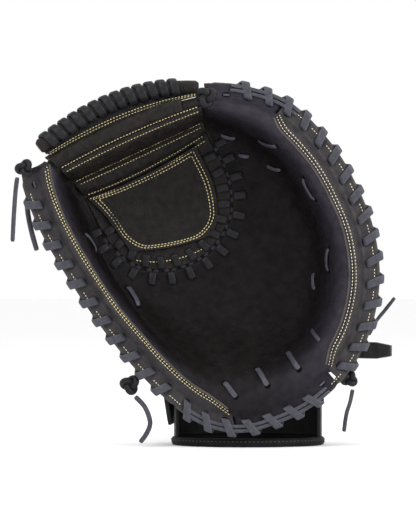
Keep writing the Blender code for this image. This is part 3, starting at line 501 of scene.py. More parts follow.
def stitches(points, normals, pitch=STITCH_PITCH, size=STITCH_SIZE, lift=0.1):
    """A row of short raised threads along a line on a surface."""
    points = np.array(points, float)
    normals = np.array(normals, float)
    steps = np.linalg.norm(np.diff(points, axis=0), axis=1)
    along = np.concatenate([[0], np.cumsum(steps)])
    places = np.arange(pitch / 2, along[-1], pitch)
    if not len(places):
        return np.zeros((0, 3)), []

    def read(values, where):
        return np.stack([np.interp(where, along, values[:, axis]) for axis in range(3)], -1)

    centre = read(points, places)
    up = unit(read(normals, places))
    way = unit(read(points, np.minimum(places + 0.6, along[-1])) - read(points, np.maximum(places - 0.6, 0)))
    across = unit(np.cross(up, way))
    turn = np.arange(TURNS) * math.tau / TURNS
    template = []
    for share in spread(-1, 1, STITCH_ROWS + 1):
        thin = math.sqrt(max(1 - abs(share) ** 3, 0.03))
        for angle in turn:
            template.append((share * size[0], math.cos(angle) * size[1] * thin,
                             math.sin(angle) * size[2] * thin))
    template = np.array(template)
    body = grid_faces(STITCH_ROWS + 1, TURNS)
    wrap = np.array([[row * TURNS + TURNS - 1, (row + 1) * TURNS + TURNS - 1, (row + 1) * TURNS, row * TURNS]
                     for row in range(STITCH_ROWS)])
    quads = np.concatenate([body, wrap])[:, ::-1]
    count = len(template)
    all_points = (centre[:, None] + up[:, None] * lift + way[:, None] * template[None, :, :1]
                  + across[:, None] * template[None, :, 1:2] + up[:, None] * template[None, :, 2:3])
    faces = (quads[None] + (np.arange(len(centre)) * count)[:, None, None]).reshape(-1, 4).tolist()
    for index in range(len(centre)):
        faces.append([index * count + corner for corner in range(TURNS)])
        faces.append([index * count + STITCH_ROWS * TURNS + corner for corner in reversed(range(TURNS))])
    return all_points.reshape(-1, 3), faces


def painted_shade(centre, normal, way, long=3.6, short=2.2, lift=0.3):
    """A dark slot-shaped disc lying on the leather: painted shade at the mouth of a lace hole."""
    normal = Vector(normal)
    way = (Vector(way) - normal * Vector(way).dot(normal)).normalized()
    other = normal.cross(way)
    rings = []
    for reach, height in ((1.0, lift - 0.5), (1.0, lift), (0.72, lift + 0.12)):
        rings.append([
            Vector(centre) + way * math.cos(turn) * long * reach + other * math.sin(turn) * short * reach
            + normal * height for turn in (math.tau * corner / 14 for corner in range(14))])
    return loft(rings)


def piece(name, shapes, look, move, stands_for=(), roll_tone_and_shade=None):
    """One visible piece from several shapes, with its finish, the body it is attached to (a bend piece only
    has its transform baked) and the CAD nodes it stands for.
    """
    points = []
    faces = []
    for shape_points, shape_faces in shapes:
        start = len(points)
        points += [tuple(point) for point in (np.array(shape_points, float) - np.array(MIDDLE)) * MM]
        faces += [tuple(index + start for index in face) for face in shape_faces]
    mesh = bpy.data.meshes.new(name)
    mesh.from_pydata(points, [], faces)
    mesh.update()
    if roll_tone_and_shade is not None:
        layer = mesh.attributes.new("roll_tone_and_shade", "FLOAT", "POINT")
        layer.data.foreach_set("value", np.resize(np.array(roll_tone_and_shade, np.float32), len(mesh.vertices)))
    made = bpy.data.objects.new(name, mesh)
    bpy.context.scene.collection.objects.link(made)
    mesh.materials.append(LOOKS[look])
    mesh.shade_smooth()
    mesh.set_sharp_from_angle(angle=math.radians(52))
    if move == "bend":
        tuple(to_frame(FOLD_MIDDLE + FOLD_ACROSS * FOLD_HALF))
        tuple(to_frame(FOLD_MIDDLE - FOLD_ACROSS * FOLD_HALF))
        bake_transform(made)
    else:
        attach(made, move)
    if stands_for:
        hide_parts(*stands_for)
    return made


# ---- loose lace ends, each fixed to its body
CORDS = {
    "thumb_tip_lace": (
        "thumb_side", ((-149, -48, 216), (-150.5, -46.5, 205), (-152, -45, 185), (-153, -45, 165)), 3.6),
    "thumb_side_lace": (
        "thumb_side", ((-143, -20, 196), (-142, -20, 186), (-139, -21, 172), (-135, -22, 158)), 4.2),
    "thumb_heel_lace": ("thumb_side", ((-56, -24, 41), (-48, -24, 32), (-44, -24, 20), (-47, -23, 11),
                                       (-52, -22, 4)), 4.0),
    "finger_heel_lace": (
        "finger_side", ((119, -14, 46), (117, -13, 36), (114, -12, 26), (112, -12, 12)), 3.4),
    "finger_side_lace": (
        "finger_side", ((132, -12, 90), (138, -12, 101), (146, -12, 111), (153, -12, 120)), 3.0),
}
for name, (body, points, width) in CORDS.items():
    line = Curve(points)
    path = [line.at(share) for share in spread(0, 1, 33)]
    sides = [Vector((math.cos(0.5 * math.sin(index * 0.16)), math.sin(0.5 * math.sin(index * 0.16)), 0.1))
             for index in range(len(path))]
    made = piece(name + "_end", [strip(path, sides, width, width * 0.62, 0.7)], "lace", body, (name,))
    length = sum((b - a).length for a, b in zip(path, path[1:])) * MM
    tuple(to_frame(points[0]))
    [tuple(to_frame(point)) for point in path]

# ---- where the lacing goes
HEEL_SPAN = (RIM.nearest((100, 45)), RIM.nearest((-20, 32)))
LACINGS = {
    "finger_rim_lace": (0.028, HEEL_SPAN[0] - 0.030),
    "heel_rim_lace": (HEEL_SPAN[0] + 0.0005, HEEL_SPAN[1] - 0.002),
    "thumb_rim_lace": (HEEL_SPAN[1] + 0.028, 0.972),
}
stops = {}
for name, (first, last) in LACINGS.items():
    turns = max(round((last - first) * RIM.length / LACE_PITCH), 2)
    way = (first, last) if name == "thumb_rim_lace" else (last, first)
    stops[name] = spread(*way, turns + 1)
ALL_STOPS = sorted(share for shares in stops.values() for share in shares)
STOPS = np.array(ALL_STOPS)


def between_holes(share):
    middles = [(a + b) / 2 for a, b in zip(ALL_STOPS, ALL_STOPS[1:])]
    return min(middles, key=lambda middle: abs(middle - share))


FINGER_BAND = (between_holes(RIM.nearest((66, 276))), between_holes(RIM.nearest((108, 54))))
THUMB_BAND = (between_holes(RIM.nearest((22, 14))), 0.985)
END_STEP = 0.003
PALM_END = 0.992


def band_width(share):
    for span, width in ((FINGER_BAND, BAND_WIDTH_FINGER), (THUMB_BAND, BAND_WIDTH_THUMB)):
        if span[0] - 1e-6 <= share <= span[1] + 1e-6:
            near = min(share - span[0], span[1] - share) * RIM.length
            if span is THUMB_BAND:
                near = (share - span[0]) * RIM.length
            ease = min(near / 26, 1)
            limit = spoke(share).length - 5
            return min(BAND_END_WIDTH + (width - BAND_END_WIDTH) * math.sin(ease * math.pi / 2), limit)
    return 0


def pinch(share, inset):
    """How far the lacing pulls the rim leather in, in mm."""
    if inset > 13:
        return 0.0
    near = float(np.exp(-(((STOPS - share) * RIM.length / PINCH_HALF) ** 2)).max())
    fade = min(max((13 - inset) / 5, 0), 1)
    return (near * PINCH_DEPTH - 0.35 * (1 - near)) * fade * fade * (3 - 2 * fade)


def waves(point, size, height):
    return noise.noise(Vector(point) / size) * height


def skin_grid(shares, insets_of):
    """The front leather at fine steps, with the lacing's pull and gentle waves: points and normals."""
    plain = np.array([[face_point(share, inset) for inset in insets_of(share)] for share in shares])
    normals = grid_normals(plain, -1)
    for row, share in enumerate(shares):
        for column, inset in enumerate(insets_of(share)):
            spot = plain[row, column]
            move = -pinch(share, inset) + waves(spot, 26, 0.45) * min(inset / 12, 1) + waves(spot, 8, 0.16)
            plain[row, column] = spot + normals[row, column] * move
    return plain, grid_normals(plain, -1)


def web_edge(share):
    return spoke(share).length - 1.0


def palm_outer(share):
    width = band_width(share)
    return width + SEAM_GAP if width else 0


# ---- palm leather and outer bands
def columns_between(first, last, every=3.2):
    return spread(first, last, max(int((last - first) * RIM.length / every * FINE), 3))


palm_shares = (
    columns_between(0.0, FINGER_BAND[0] - END_STEP) + columns_between(*FINGER_BAND)
    + columns_between(FINGER_BAND[1] + END_STEP, THUMB_BAND[0] - END_STEP)
    + columns_between(THUMB_BAND[0], PALM_END))
PALM_STEPS = (
    0, 1.2, 3, 5, 7, 9, 11, 13, 15, 17.5, 20, 22.5, 25, 27.5, 30, 32, 34, 35.5, 37, 38.5, 40, 42, 44, 47, 50,
    54, 58, 64, 70, 78,
)
FLOOR_COUNT = 26
LEAST_STEP = 0.3


def palm_insets(share):
    start = palm_outer(share)
    end = web_edge(share)
    scale = min(end / (PALM_STEPS[-1] * 1.2), 1)
    steps = [step * scale for step in PALM_STEPS]
    steps += spread(steps[-1], end, FLOOR_COUNT)[1:]
    shared = 0
    while start > 0 and shared < len(steps) - 1 and steps[shared] < start + LEAST_STEP * max(shared, 1):
        shared += 1
    return spread(start, steps[shared], shared + 1)[:-1] + steps[shared:] if shared else steps


insets_of = {share: palm_insets(share) for share in palm_shares}
palm_grid, palm_normals = skin_grid(palm_shares, lambda share: insets_of[share])
# Near 1 on the roll walls, the roll leather's own bluish tone; less deeper in the pocket and toward the heel,
# partly painted shade of the pocket's depth.
roll_tone_and_pocket_shade = []
for share in palm_shares:
    heel = read_table(HEEL_SHARE, share)
    for inset in insets_of[share]:
        wall = 1 - min(max((inset - 30) / 16, 0), 1)
        roll_tone_and_pocket_shade.append(wall * (0.35 + 0.65 * (1 - heel)) * (1 if share < 0.5 else 0.9))
piece("palm_leather_skin", [thick_sheet(palm_grid, palm_grid - palm_normals * LEATHER)], "palm", "bend",
      ("palm_leather",), roll_tone_and_shade=roll_tone_and_pocket_shade + roll_tone_and_pocket_shade + [0.4] * 4000)
palm_tree = BVHTree.FromPolygons([Vector(point) for point in palm_grid.reshape(-1, 3)],
                                 grid_faces(*palm_grid.shape[:2]).tolist())


def onto(tree, x, z):
    spot, normal, _, _ = tree.ray_cast(Vector((x, -400, z)), Vector((0, 1, 0)))
    return (spot, normal if normal.y < 0 else -normal) if spot else (Vector((x, 0, z)), Vector((0, -1, 0)))


BAND_COUNT = 14
for name, span in (("finger_outer_band", (FINGER_BAND[0] + END_STEP, FINGER_BAND[1] - END_STEP)),
                   ("thumb_outer_band", (THUMB_BAND[0] + END_STEP, THUMB_BAND[1]))):
    shares = columns_between(*span, every=1.6)
    front, normals = skin_grid(shares, lambda share: spread(0, band_width(share), BAND_COUNT))
    piece(name + "_skin", [thick_sheet(front, front - normals * LEATHER)], "band", "bend", (name,))


# ---- seams: stitch rows, a channel of painted shade and piping
def line_on(first, last, inset_of, lift=0.0, every=1.5):
    points = []
    normals = []
    for share in spread(first, last, max(int((last - first) * RIM.length / every), 4)):
        inset = inset_of(share)
        normal = face_normal(share, inset)
        spot = face_point(share, inset)
        move = lift - pinch(share, inset) + waves(spot, 26, 0.45) * min(max(inset, 0) / 12, 1)
        points.append(np.array(spot + normal * move))
        normals.append(np.array(normal))
    return np.array(points), np.array(normals)


SEAMS = (("finger", FINGER_BAND[0] + 0.006, FINGER_BAND[1] - 0.006, "cream"),
         ("thumb", THUMB_BAND[0] + 0.006, 0.978, "gold"))
SEAM_ROWS = (-1.4, 1.4)
# What runs beside the stitches: its distance from the seam, its lift, its width and its thickness. The
# channel is a dark strip of painted shade in the seam's groove.
SEAM_TRIMS = (("piping", 3.9, 0.1, 1.7, 1.5, "edge"), ("channel", 0.2, -0.05, 0.6, 0.4, "painted_shade"))
for side, first, last, thread in SEAMS:
    rows = [stitches(*line_on(first, last, lambda share: band_width(share) + offset, 0.25), pitch=2.7)
            for offset in SEAM_ROWS]
    piece(f"{side}_seam_stitches", rows, thread, "bend")
    for part, offset, lift, wide, thick, look in SEAM_TRIMS:
        path, normals = line_on(first, last, lambda share: band_width(share) + offset, lift)
        trim = strip(path, across_line(path, normals), wide, thick, 0.9)
        piece(f"{side}_seam_{part}", [trim], look, "bend")
rim_rows = []
for index, (a, b) in enumerate(zip(ALL_STOPS, ALL_STOPS[1:])):
    quarter = (b - a) * 0.2
    rim_rows.append(stitches(*line_on(a + quarter, b - quarter, lambda share: 2.9, 0.2), pitch=2.5,
                             size=(0.8, 0.34, 0.28)))
piece("rim_edge_stitches", rim_rows, "cream", "bend")

# ---- welts round the rim
for name, first, last in (
    ("finger_rim_welt", 0.008, HEEL_SPAN[0] - 0.012),
    ("heel_rim_welt", HEEL_SPAN[0] - 0.0105, HEEL_SPAN[1] + 0.0095),
    ("thumb_rim_welt", HEEL_SPAN[1] + 0.011, 0.98),
):
    path = []
    sides = []
    for share in columns_between(first, last, 2.4):
        edge = face_point(share, 0)
        inward = (face_point(share, WELT_IN) - edge).normalized()
        normal = face_normal(share, 2)
        middle = (WELT_IN - WELT_OUT) / 2
        path.append(edge + inward * middle - normal * (LEATHER + 0.3 + WELT_THICK / 2))
        sides.append(inward)
    piece(name + "_roll", [strip(path, sides, WELT_IN + WELT_OUT, WELT_THICK, 0.6)], "edge", "bend", (name,))

# ---- rim laces, with dark discs of painted shade at their holes
hole_shade_discs = []
for name, shares in stops.items():
    path = []
    sides = []
    step = shares[1] - shares[0]
    for turn, here in enumerate(shares):
        normal = face_normal(here, HOLE_INSET)
        head = face_point(here, HOLE_INSET) - normal * pinch(here, HOLE_INSET) * 0.7
        side = in_space(RIM.heading(here))
        deep = FLANGE_BACK + LEATHER + LACE_CLEAR
        hole_shade_discs.append(painted_shade(head, normal, side, lift=0.25))
        path += [head - normal * deep, head + normal * (LACE_CLEAR - 0.3)]
        sides += [side, side]
        if turn < len(shares) - 1:
            over = here + step * LACE_LEAN
            edge = face_point(over, -RIM_OUTSIDE)
            edge_normal = face_normal(over, 0)
            path += [edge + edge_normal * LACE_CLEAR * 0.7, edge - edge_normal * deep]
            sides += [in_space(RIM.heading(over))] * 2
    path, sides = rounded(path, sides, 2.2)
    shapes = [strip(path, sides, LACE_WIDTH, LACE_THICK, slanted=True)]
    if name != "thumb_rim_lace":
        low, high = (shares[-1], shares[0]) if name == "heel_rim_lace" else (0.03, 0.115)
        for inset in (0.2, 3.8):
            run, run_normals = line_on(low, high, lambda share: inset, 1.1, every=3)
            shapes.append(strip(run, across_line(run, run_normals), 2.9, 1.7, 0.7))
    piece(name + "_wraps", shapes, "lace", "bend", (name,))

# ---- the web surface
WEB_GAP = 3.0
WEB_COLUMNS = 9
# Each row of the web, from the pocket up: its right end, its left end, its bow upward and its sag back.
WEB_ROWS = (
    ((7, 160), (-60, 147), 0.0, 0.0), ((17, 175), (-74, 158), -7.0, 1.5),
    ((22, 194), (-84, 171), -6.0, 4.0), ((18, 222), (-92, 186), -5.0, 6.0),
    ((3, 252), (-100, 200), -4.0, 7.0), ((-1, 264), (-108, 212), 0.0, 6.0),
    ((-1, 274), (-117, 222), 3.0, 5.0), ((-1, 281), (-127, 230), 6.0, 4.0),
)


def web_edge_point(share):
    inside = in_space(right_of(WEB.heading(share, 0.02)) * WEB_GAP)
    return face_point(share, web_edge(share)) + inside


web_grid = []
for row, (right_at, left_at, bow, sag) in enumerate(WEB_ROWS):
    right_share = WEB.nearest(right_at)
    left_share = WEB.nearest(left_at)
    line = []
    for part in spread(0, 1, WEB_COLUMNS):
        if row == 0:
            line.append(web_edge_point(right_share + (left_share - right_share) * part))
            continue
        arch = 4 * part * (1 - part)
        line.append(web_edge_point(right_share).lerp(web_edge_point(left_share), part)
                    + Vector((0, sag * arch, bow * arch)))
    web_grid.append(line)
WEB_GRID = np.array([[tuple(point) for point in line] for line in web_grid])
TOP_ROW = len(WEB_ROWS) - 1


def smooth_between(values, at):
    """A smooth value along the first axis of an array."""
    last = len(values) - 1
    low = min(max(int(at), 0), last - 1)
    u = at - low
    a = values[max(low - 1, 0)]
    b, c = values[low], values[low + 1]
    d = values[min(low + 2, last)]
    return 0.5 * (2 * b + (c - a) * u + (2 * a - 5 * b + 4 * c - d) * u**2 + (3 * b - a - 3 * c + d) * u**3)


def web_spot(row, column):
    return smooth_between(smooth_between(WEB_GRID, row), column)


def web_at(row, column, lift=0.0):
    """A point on the web by row and column, and the direction out of it."""
    low_row, high_row = max(row - 0.1, 0), min(row + 0.1, TOP_ROW)
    low_column, high_column = max(column - 0.2, 0), min(column + 0.2, WEB_COLUMNS - 1)
    normal = np.cross(web_spot(high_row, column) - web_spot(low_row, column),
                      web_spot(row, high_column) - web_spot(row, low_column))
    normal = normal / np.linalg.norm(normal)
    normal = normal if normal[1] < 0 else -normal
    return web_spot(row, column) + normal * lift, normal


def web_sheet(rows, columns_of, low, high, soft=0.0):
    front = []
    back = []
    for row in rows:
        found = [web_at(row, column) for column in columns_of(row)]
        front.append([spot + normal * (high + waves(spot, 9, 0.25) + waves(spot, 30, soft))
                      for spot, normal in found])
        back.append([spot + normal * low for spot, normal in found])
    return thick_sheet(front, back)


piece("web_backing_skin", [web_sheet(spread(0, TOP_ROW, 50), lambda row: spread(0, 8, 50), -LEATHER, 0)],
      "web", "bend", ("web_backing",))
# A flange behind the joint closes the gap between the palm leather's edge and the web.
front = []
back = []
for share in spread(0.006, 0.985, 150):
    edge = web_edge(share)
    inner = max(edge - 5, 0)
    normal = face_normal(share, max(edge - 2, 0))
    start = face_point(share, inner) - face_normal(share, inner) * 2.3
    end = web_edge_point(share) + in_space(right_of(WEB.heading(share, 0.02)) * 4, 2.4)
    front.append([start.lerp(end, part) for part in spread(0, 1, 8)])
    back.append([point + Vector((0, 1.3, 0)) - normal * 0.2 for point in front[-1]])
piece("web_border_flange", [thick_sheet(front, back)], "web", "bend")


def panel_left(row):
    """The panel's left column: it leans out toward the thumb as it rises."""
    return 7 + 0.8 * max((row - 1) / 3, 0) ** 1.5


piece("web_panel_skin", [web_sheet(spread(1, 4, 36), lambda row: spread(0.8, panel_left(row), 48), 0.2,
                                   D_PANEL_THICK, 0.9)], "web", "bend", ("web_panel",))
for index in range(3):
    low = 4 + index + (0.16 if index == 0 else 0.1)
    high = 5 + index - 0.1
    sections = []
    for column in spread(1 if index == 2 else 0, 8, 90):
        ends = 0.6 + 0.4 * min(1, min(column - (1 if index == 2 else 0), 8 - column))
        crease = 1 - 0.09 * max(noise.noise(Vector((column * 3.1, index * 7.7, 0.3))), 0) * 2
        section = [web_at(low, column, ROLL_LIFT - 1.2)[0]]
        for part in spread(0.03, 0.97, 11):
            height = ROLL_LIFT + ROLL_HEIGHT * ends * crease * math.sin(math.pi * part) ** 0.62
            spot, normal = web_at(low + (high - low) * part, column, height)
            section.append(spot + normal * waves(spot, 5, 0.22))
        section.append(web_at(high, column, ROLL_LIFT - 1.2)[0])
        sections.append(section)
    piece(f"web_roll_{index + 1}_skin", [loft(sections)], "web", "bend", (f"web_roll_{index + 1}",))


def web_line(spots, lift):
    found = [web_at(row, column, lift) for row, column in spots]
    return np.array([spot for spot, _ in found]), np.array([normal for _, normal in found])


web_rows = []
for row, spacing, lift in ((4.06, 0.11, 2.6), (5.0, 0.13, 3.3), (6.0, 0.13, 3.3)):
    for offset in (-spacing, spacing):
        spots = [(row + offset, column) for column in spread(0.25, 7.8, 60)]
        web_rows.append(stitches(*web_line(spots, lift), pitch=2.6, size=WEB_STITCH))


def rounded_outline(inset):
    """The outline of the D panel, set in from its edge, as web rows and columns."""
    low, high, right, bend = 1 + inset * 0.5, 4 - inset * 0.5, 0.8 + inset, 0.9
    spots = [(row, right) for row in spread(high, low + bend, 12)]
    spots += [(low + bend * (1 - math.sin(t)), right + bend * 1.2 * (1 - math.cos(t)))
              for t in spread(0.1, math.pi / 2, 8)]
    far = panel_left(low) - inset
    spots += [(low, column) for column in spread(right + bend * 1.2, far - bend * 1.2, 16)]
    spots += [(low + bend * (1 - math.sin(t)), panel_left(low + bend * (1 - math.sin(t))) - inset
               - bend * 1.2 * (1 - math.cos(t))) for t in spread(math.pi / 2, 0.1, 8)]
    spots += [(row, panel_left(row) - inset) for row in spread(low + bend, high, 12)]
    return spots + [(high, column) for column in spread(panel_left(high) - inset, right, 30)]


for inset in (0.22, 0.42):
    web_rows.append(stitches(*web_line(rounded_outline(inset), D_PANEL_THICK + 0.15), pitch=2.7,
                             size=(0.95, 0.38, 0.32)))
web_rows.append(stitches(*web_line([(0.45, column) for column in spread(0.8, 7.2, 40)], 0.2), pitch=2.7))
piece("web_stitches", web_rows, "gold", "bend")

# ---- the web's top bar and its wraps
bar_line = []
for column in spread(0.25, 7.75, 16):
    top = Vector(web_at(TOP_ROW, column, -1)[0])
    below = Vector(web_at(TOP_ROW - 1, column, -1)[0])
    arch = math.sin(math.pi * column / (WEB_COLUMNS - 1)) * BAR_ARCH
    bar_line.append(top + (top - below).normalized() * (BAR_LIFT + arch))
bar_curve = Curve(bar_line, 4)
bar_path = [bar_curve.at(part) for part in spread(0, 1, 60)]
core = strip(bar_path, [Vector((0, 1, 0))] * len(bar_path), BAR_RADIUS * 2, BAR_RADIUS * 2, 1.0, 20)
piece("web_top_bar_core", [core], "web", "bend", ("web_top_bar",))
front = []
back = []
for column in spread(0.3, 7.7, 60):
    foot, normal = web_at(TOP_ROW - 0.12, column, 1.6)
    head = bar_curve.at((column - 0.25) / 7.5)
    front.append([Vector(foot).lerp(head, part) + Vector((0, 0.5, 0)) for part in spread(0, 1, 8)])
    back.append([point + Vector((0, 2, 0)) for point in front[-1]])
piece("web_top_flange", [thick_sheet(front, back)], "web", "bend")
rows = []
for part in (0.13, 0.27):
    spots = [line[0].lerp(line[-1], part) + Vector((0, -0.2, 0)) for line in front]
    rows.append(stitches(spots, [(0, -1, 0)] * len(front), pitch=2.6, size=WEB_STITCH))
piece("web_top_stitches", rows, "gold", "bend")
BAR_TURNS = 13
BAR_STEPS = 20
BAR_LACE_WIDTH = 6.2
path = []
sides = []
for index in range(BAR_TURNS * BAR_STEPS + 1):
    part = 0.12 + 0.85 * index / (BAR_TURNS * BAR_STEPS)
    turn = math.tau * index / BAR_STEPS
    along = bar_curve.heading(part, 0.03)
    across = along.cross(Vector((0, 1, 0))).normalized()
    out = across * math.cos(turn) + along.cross(across) * math.sin(turn)
    path.append(bar_curve.at(part) + out * (BAR_RADIUS + LACE_THICK / 2 + 0.05))
    sides.append(along)
# The top wraps use the darker copy of the lace leather: painted shade.
piece("web_top_wraps", [strip(path, sides, BAR_LACE_WIDTH, 1.8)], "wrap", "bend", ("web_top_lace",))

# ---- lacing between web and palm
web_front = [Vector(point) for point in WEB_GRID.reshape(-1, 3)]
web_tree = BVHTree.FromPolygons(web_front, grid_faces(len(WEB_ROWS), WEB_COLUMNS).tolist())
HOLE_IN = 5.2
FIRST_STITCH = WEB.nearest((7, 244))
LAST_STITCH = WEB.nearest((-88, 178))
count = round((LAST_STITCH - FIRST_STITCH) * WEB.length / WEB_LACE_PITCH)
heads = []
feet = []
for index in range(count + 1):
    share = FIRST_STITCH + (LAST_STITCH - FIRST_STITCH) * index / count
    later = share + (LAST_STITCH - FIRST_STITCH) * 0.5 / count
    side = in_space(WEB.heading(share, 0.02))
    inset = web_edge(share) - HOLE_IN
    heads.append((face_point(share, inset), face_normal(share, inset), side))
    if index < count:
        middle = face_point(later, web_edge(later))
        inside = right_of(WEB.heading(later, 0.02)) * (WEB_GAP + HOLE_IN)
        feet.append(onto(web_tree, middle.x + inside.x, middle.z + inside.y) + (side,))
shapes = []
BAR_LONG = 5.0
BAR_RISE = ((-BAR_LONG, -1.2), (-BAR_LONG + 0.5, 0.9), (0, 1.4), (BAR_LONG - 0.5, 0.9), (BAR_LONG, -1.2))
for spot, normal, side in heads + feet:
    across = Vector(normal).cross(Vector(side)).normalized()
    path = [Vector(spot) + across * reach + Vector(normal) * height for reach, height in BAR_RISE]
    run, ways = rounded(path, [side] * len(path), 1.2)
    shapes.append(strip(run, ways, 6.2, 2.5))
for below, pairs in ((1.4, zip(heads, feet)), (1.6, zip(heads[1:], feet))):
    shapes += [strip([a[0] - a[1] * below, b[0] - b[1] * below], [a[2]] * 2, 4.0, 1.6, ends=False)
               for a, b in pairs]
# The pocket lacing uses the darker copy of the lace leather: painted shade.
piece("web_pocket_lacing", shapes, "wrap", "bend", ("web_pocket_lace",))
hole_shade_discs += [painted_shade(spot, normal, side, 3.2, 2.0) for spot, normal, side in heads + feet]

# ---- short laces through the palm face
TIES = {
    "finger_tie_1": ((43, 247), (57, 241)), "finger_tie_2": ((78, 216), (88, 198)),
    "finger_tie_3": ((99, 160), (99, 141)), "heel_tie_1": ((66, 77), (75, 63)),
    "heel_tie_2": ((41, 64), (50, 50)), "heel_tie_3": ((15, 53), (25, 41)),
    "thumb_tie_1": ((-97, 172), (-88, 157)), "thumb_tie_2": ((-63, 129), (-53.5, 113)),
}
SMALL_TIES = (((12.6, 252), (24.5, 249)), ((27, 236), (36, 234.5)), ((50, 227), (61.5, 223)),
              ((88, 140), (88.5, 126)), ((85.6, 95), (91.5, 86)))
TIE_HEIGHTS = (-0.9, 0.9, 1.4, 1.6, 1.6, 1.6, 1.4, 0.9, -0.9)
SMALL_TIE_HEIGHTS = (-0.9, 0.6, 1.1, 1.2, 1.1, 0.6, -0.9)


def tie(start, end, heights, width, thick):
    """A short lace that comes up through the palm: its shape, its line and the directions across it."""
    path = []
    normals = []
    for part, height in zip(spread(0, 1, len(heights)), heights):
        spot, normal = onto(palm_tree, *(a + (b - a) * part for a, b in zip(start, end)))
        path.append(spot + normal * height)
        normals.append(normal)
    run = (path[-1] - path[0]).normalized()
    sides = [run.cross(normal) for normal in normals]
    return strip(path, sides, width, thick), path, sides


for name, ends in TIES.items():
    shape, path, sides = tie(*ends, TIE_HEIGHTS, 4.0, 1.7)
    piece(name + "_lace", [shape], "lace", "bend", (name,))
    for spot, side in ((path[0], sides[0]), (path[-1], sides[-1])):
        place, normal = onto(palm_tree, spot.x, spot.z)
        hole_shade_discs.append(painted_shade(place, normal, side, 2.7, 2.0, 0.15))
piece("palm_small_ties", [tie(*ends, SMALL_TIE_HEIGHTS, 3.2, 1.5)[0] for ends in SMALL_TIES], "lace", "bend")
# Dark discs of painted shade at every lace hole.
piece("lace_hole_painted_shade", hole_shade_discs, "painted_shade", "bend")


# ---- pads behind the rolls
def roll_pad(name, first, last, start, end, body, plain=0.0):
    sections = []
    for share in columns_between(first, last, 6):
        limit = min(end, spoke(share).length - 6)
        front = [face_point(share, inset) - (face_normal(share, inset) + Vector((0, -plain, 0))).normalized()
                 * (PAD_BEHIND * (1 + plain * 0.22) + 0.3) for inset in spread(start, limit, 14)]
        back = [front[-1].lerp(front[0], part) + Vector((0, 0.8 * math.sin(math.pi * part), 0))
                for part in spread(0.06, 0.94, 8)]
        sections.append(front + back)
    made = piece(name + "_felt", [loft(sections)], "felt", body, (name,))


roll_pad("finger_roll_pad", 0.10, HEEL_SPAN[0] - 0.035, 13.5, 46, "finger_side")
roll_pad("heel_pad", HEEL_SPAN[0] - 0.008, RIM.nearest((46, 17)), 14, 50, "finger_side")
roll_pad("thumb_heel_pad", RIM.nearest((4, 19)), RIM.nearest((-36, 45)), 14, 58, "thumb_side")
roll_pad("thumb_roll_pad", RIM.nearest((-46, 55)), 0.86, 13.5, 34, "thumb_side", 1.2)


# ---- linings
def lining_point(share, inset, behind):
    rim = read_table(RIM_DEPTH, share)
    chord_start = rim + 2.4
    end = min(74, spoke(share).length - 6)
    chord_end = face_depth(share, end) + PAD_BEHIND * 1.1
    chord = chord_start + (chord_end - chord_start) * min(max((inset - 14) / (end - 14), 0), 1)
    depth = max(rim + FLANGE_BACK, chord + 1.6, face_depth(share, inset) + 4.4)
    return in_space(plan_point(share, inset), depth + behind)


def fleece(node, place, rows, columns, thick):
    near, far = ([[place(row, column, behind) for column in columns] for row in rows]
                 for behind in (0, thick))
    piece(node + "_fleece", [thick_sheet(near, far, 0.2)], "fleece", "bend", (node,))


fleece("heel_lining", lining_point, columns_between(HEEL_SPAN[0] - 0.008, HEEL_SPAN[1] + 0.008, 4),
       spread(0, 60, 30), 1.6)


def floor_point(share, part, behind):
    reach = spoke(share).length - 9
    start = min(82, reach * 0.86)
    inset = start + (reach - start) * part
    return face_point(share, inset) - face_normal(share, inset) * (FLOOR_BEHIND + behind)


fleece("palm_lining", floor_point, spread(0.24, 0.65, 80), spread(0, 1, 20), 1.4)

# ---- back leathers
RIM_SHARES = [0.016, between_holes(RIM.nearest((62, 278))), between_holes(RIM.nearest((98, 246))),
              between_holes(RIM.nearest((122, 206))), between_holes(RIM.nearest((138, 140)))]
STALLS = ("index_stall", "middle_stall", "ring_stall", "little_stall")
GAP_SHARE = 0.35 / RIM.length


def line_target(points, first, last):
    curve = Curve(points)

    class Target:
        @staticmethod
        def at(share):
            return curve.at((share - first) / (last - first))

        @staticmethod
        def heading(share):
            return curve.heading((share - first) / (last - first))

    return Target()


BACK_STEPS = (0, 2.5, 5, 7.5, 10.2, 11.5, 12.5, 13.5, 14.5, 15.7, 17, 19, 21, 23, 26, 30, 34)
FLAT = 10.2


def back_grid(first, last, target, target_out, left_depth, right_depth, bulge, columns, lead=0.45):
    """The outer face of a shell from the rim flange round the side to its open inner edge."""
    outer = []
    for index, share in enumerate(spread(first, last, columns)):
        across = index / (columns - 1)
        rim = read_table(RIM_DEPTH, share) + FLANGE_BACK + LEATHER
        full = left_depth + (right_depth - left_depth) * across + bulge * math.sin(math.pi * across) ** 0.7
        line = spoke(share, target, target_out, lead)
        fit = min((line.length - 2 - FLAT) / (BACK_STEPS[-1] - FLAT), 1)
        turned = [FLAT + (value - FLAT) * fit if value > FLAT else value for value in BACK_STEPS]
        row = []
        for inset in turned + spread(turned[-1], line.length, 14)[1:]:
            spot = in_space(line.at(inset / line.length), rim + (full - rim) * read_table(BACK_TURN, inset))
            row.append(spot + Vector((0, waves(spot, 22, 0.5) * min(inset / 16, 1), 0)))
        outer.append(row)
    return np.array([[tuple(point) for point in row] for row in outer])


def back_leather(name, *shape):
    outer = back_grid(*shape)
    normals = grid_normals(outer, 1)
    normals[:, :5] = (0, 1, 0)
    piece(name + "_skin", [thick_sheet(outer, outer - normals * LEATHER)], "shell", "bend", (name,))
    rows = []
    last_column = len(outer) - 1
    for column in (2, last_column - 2):
        rows.append(stitches(outer[column, 5:] + normals[column, 5:] * 0.1, normals[column, 5:]))
    rows.append(stitches(outer[:, -2] + normals[:, -2] * 0.1, normals[:, -2]))
    piece(name + "_stitches", rows, "cream", "bend")
    return outer, normals


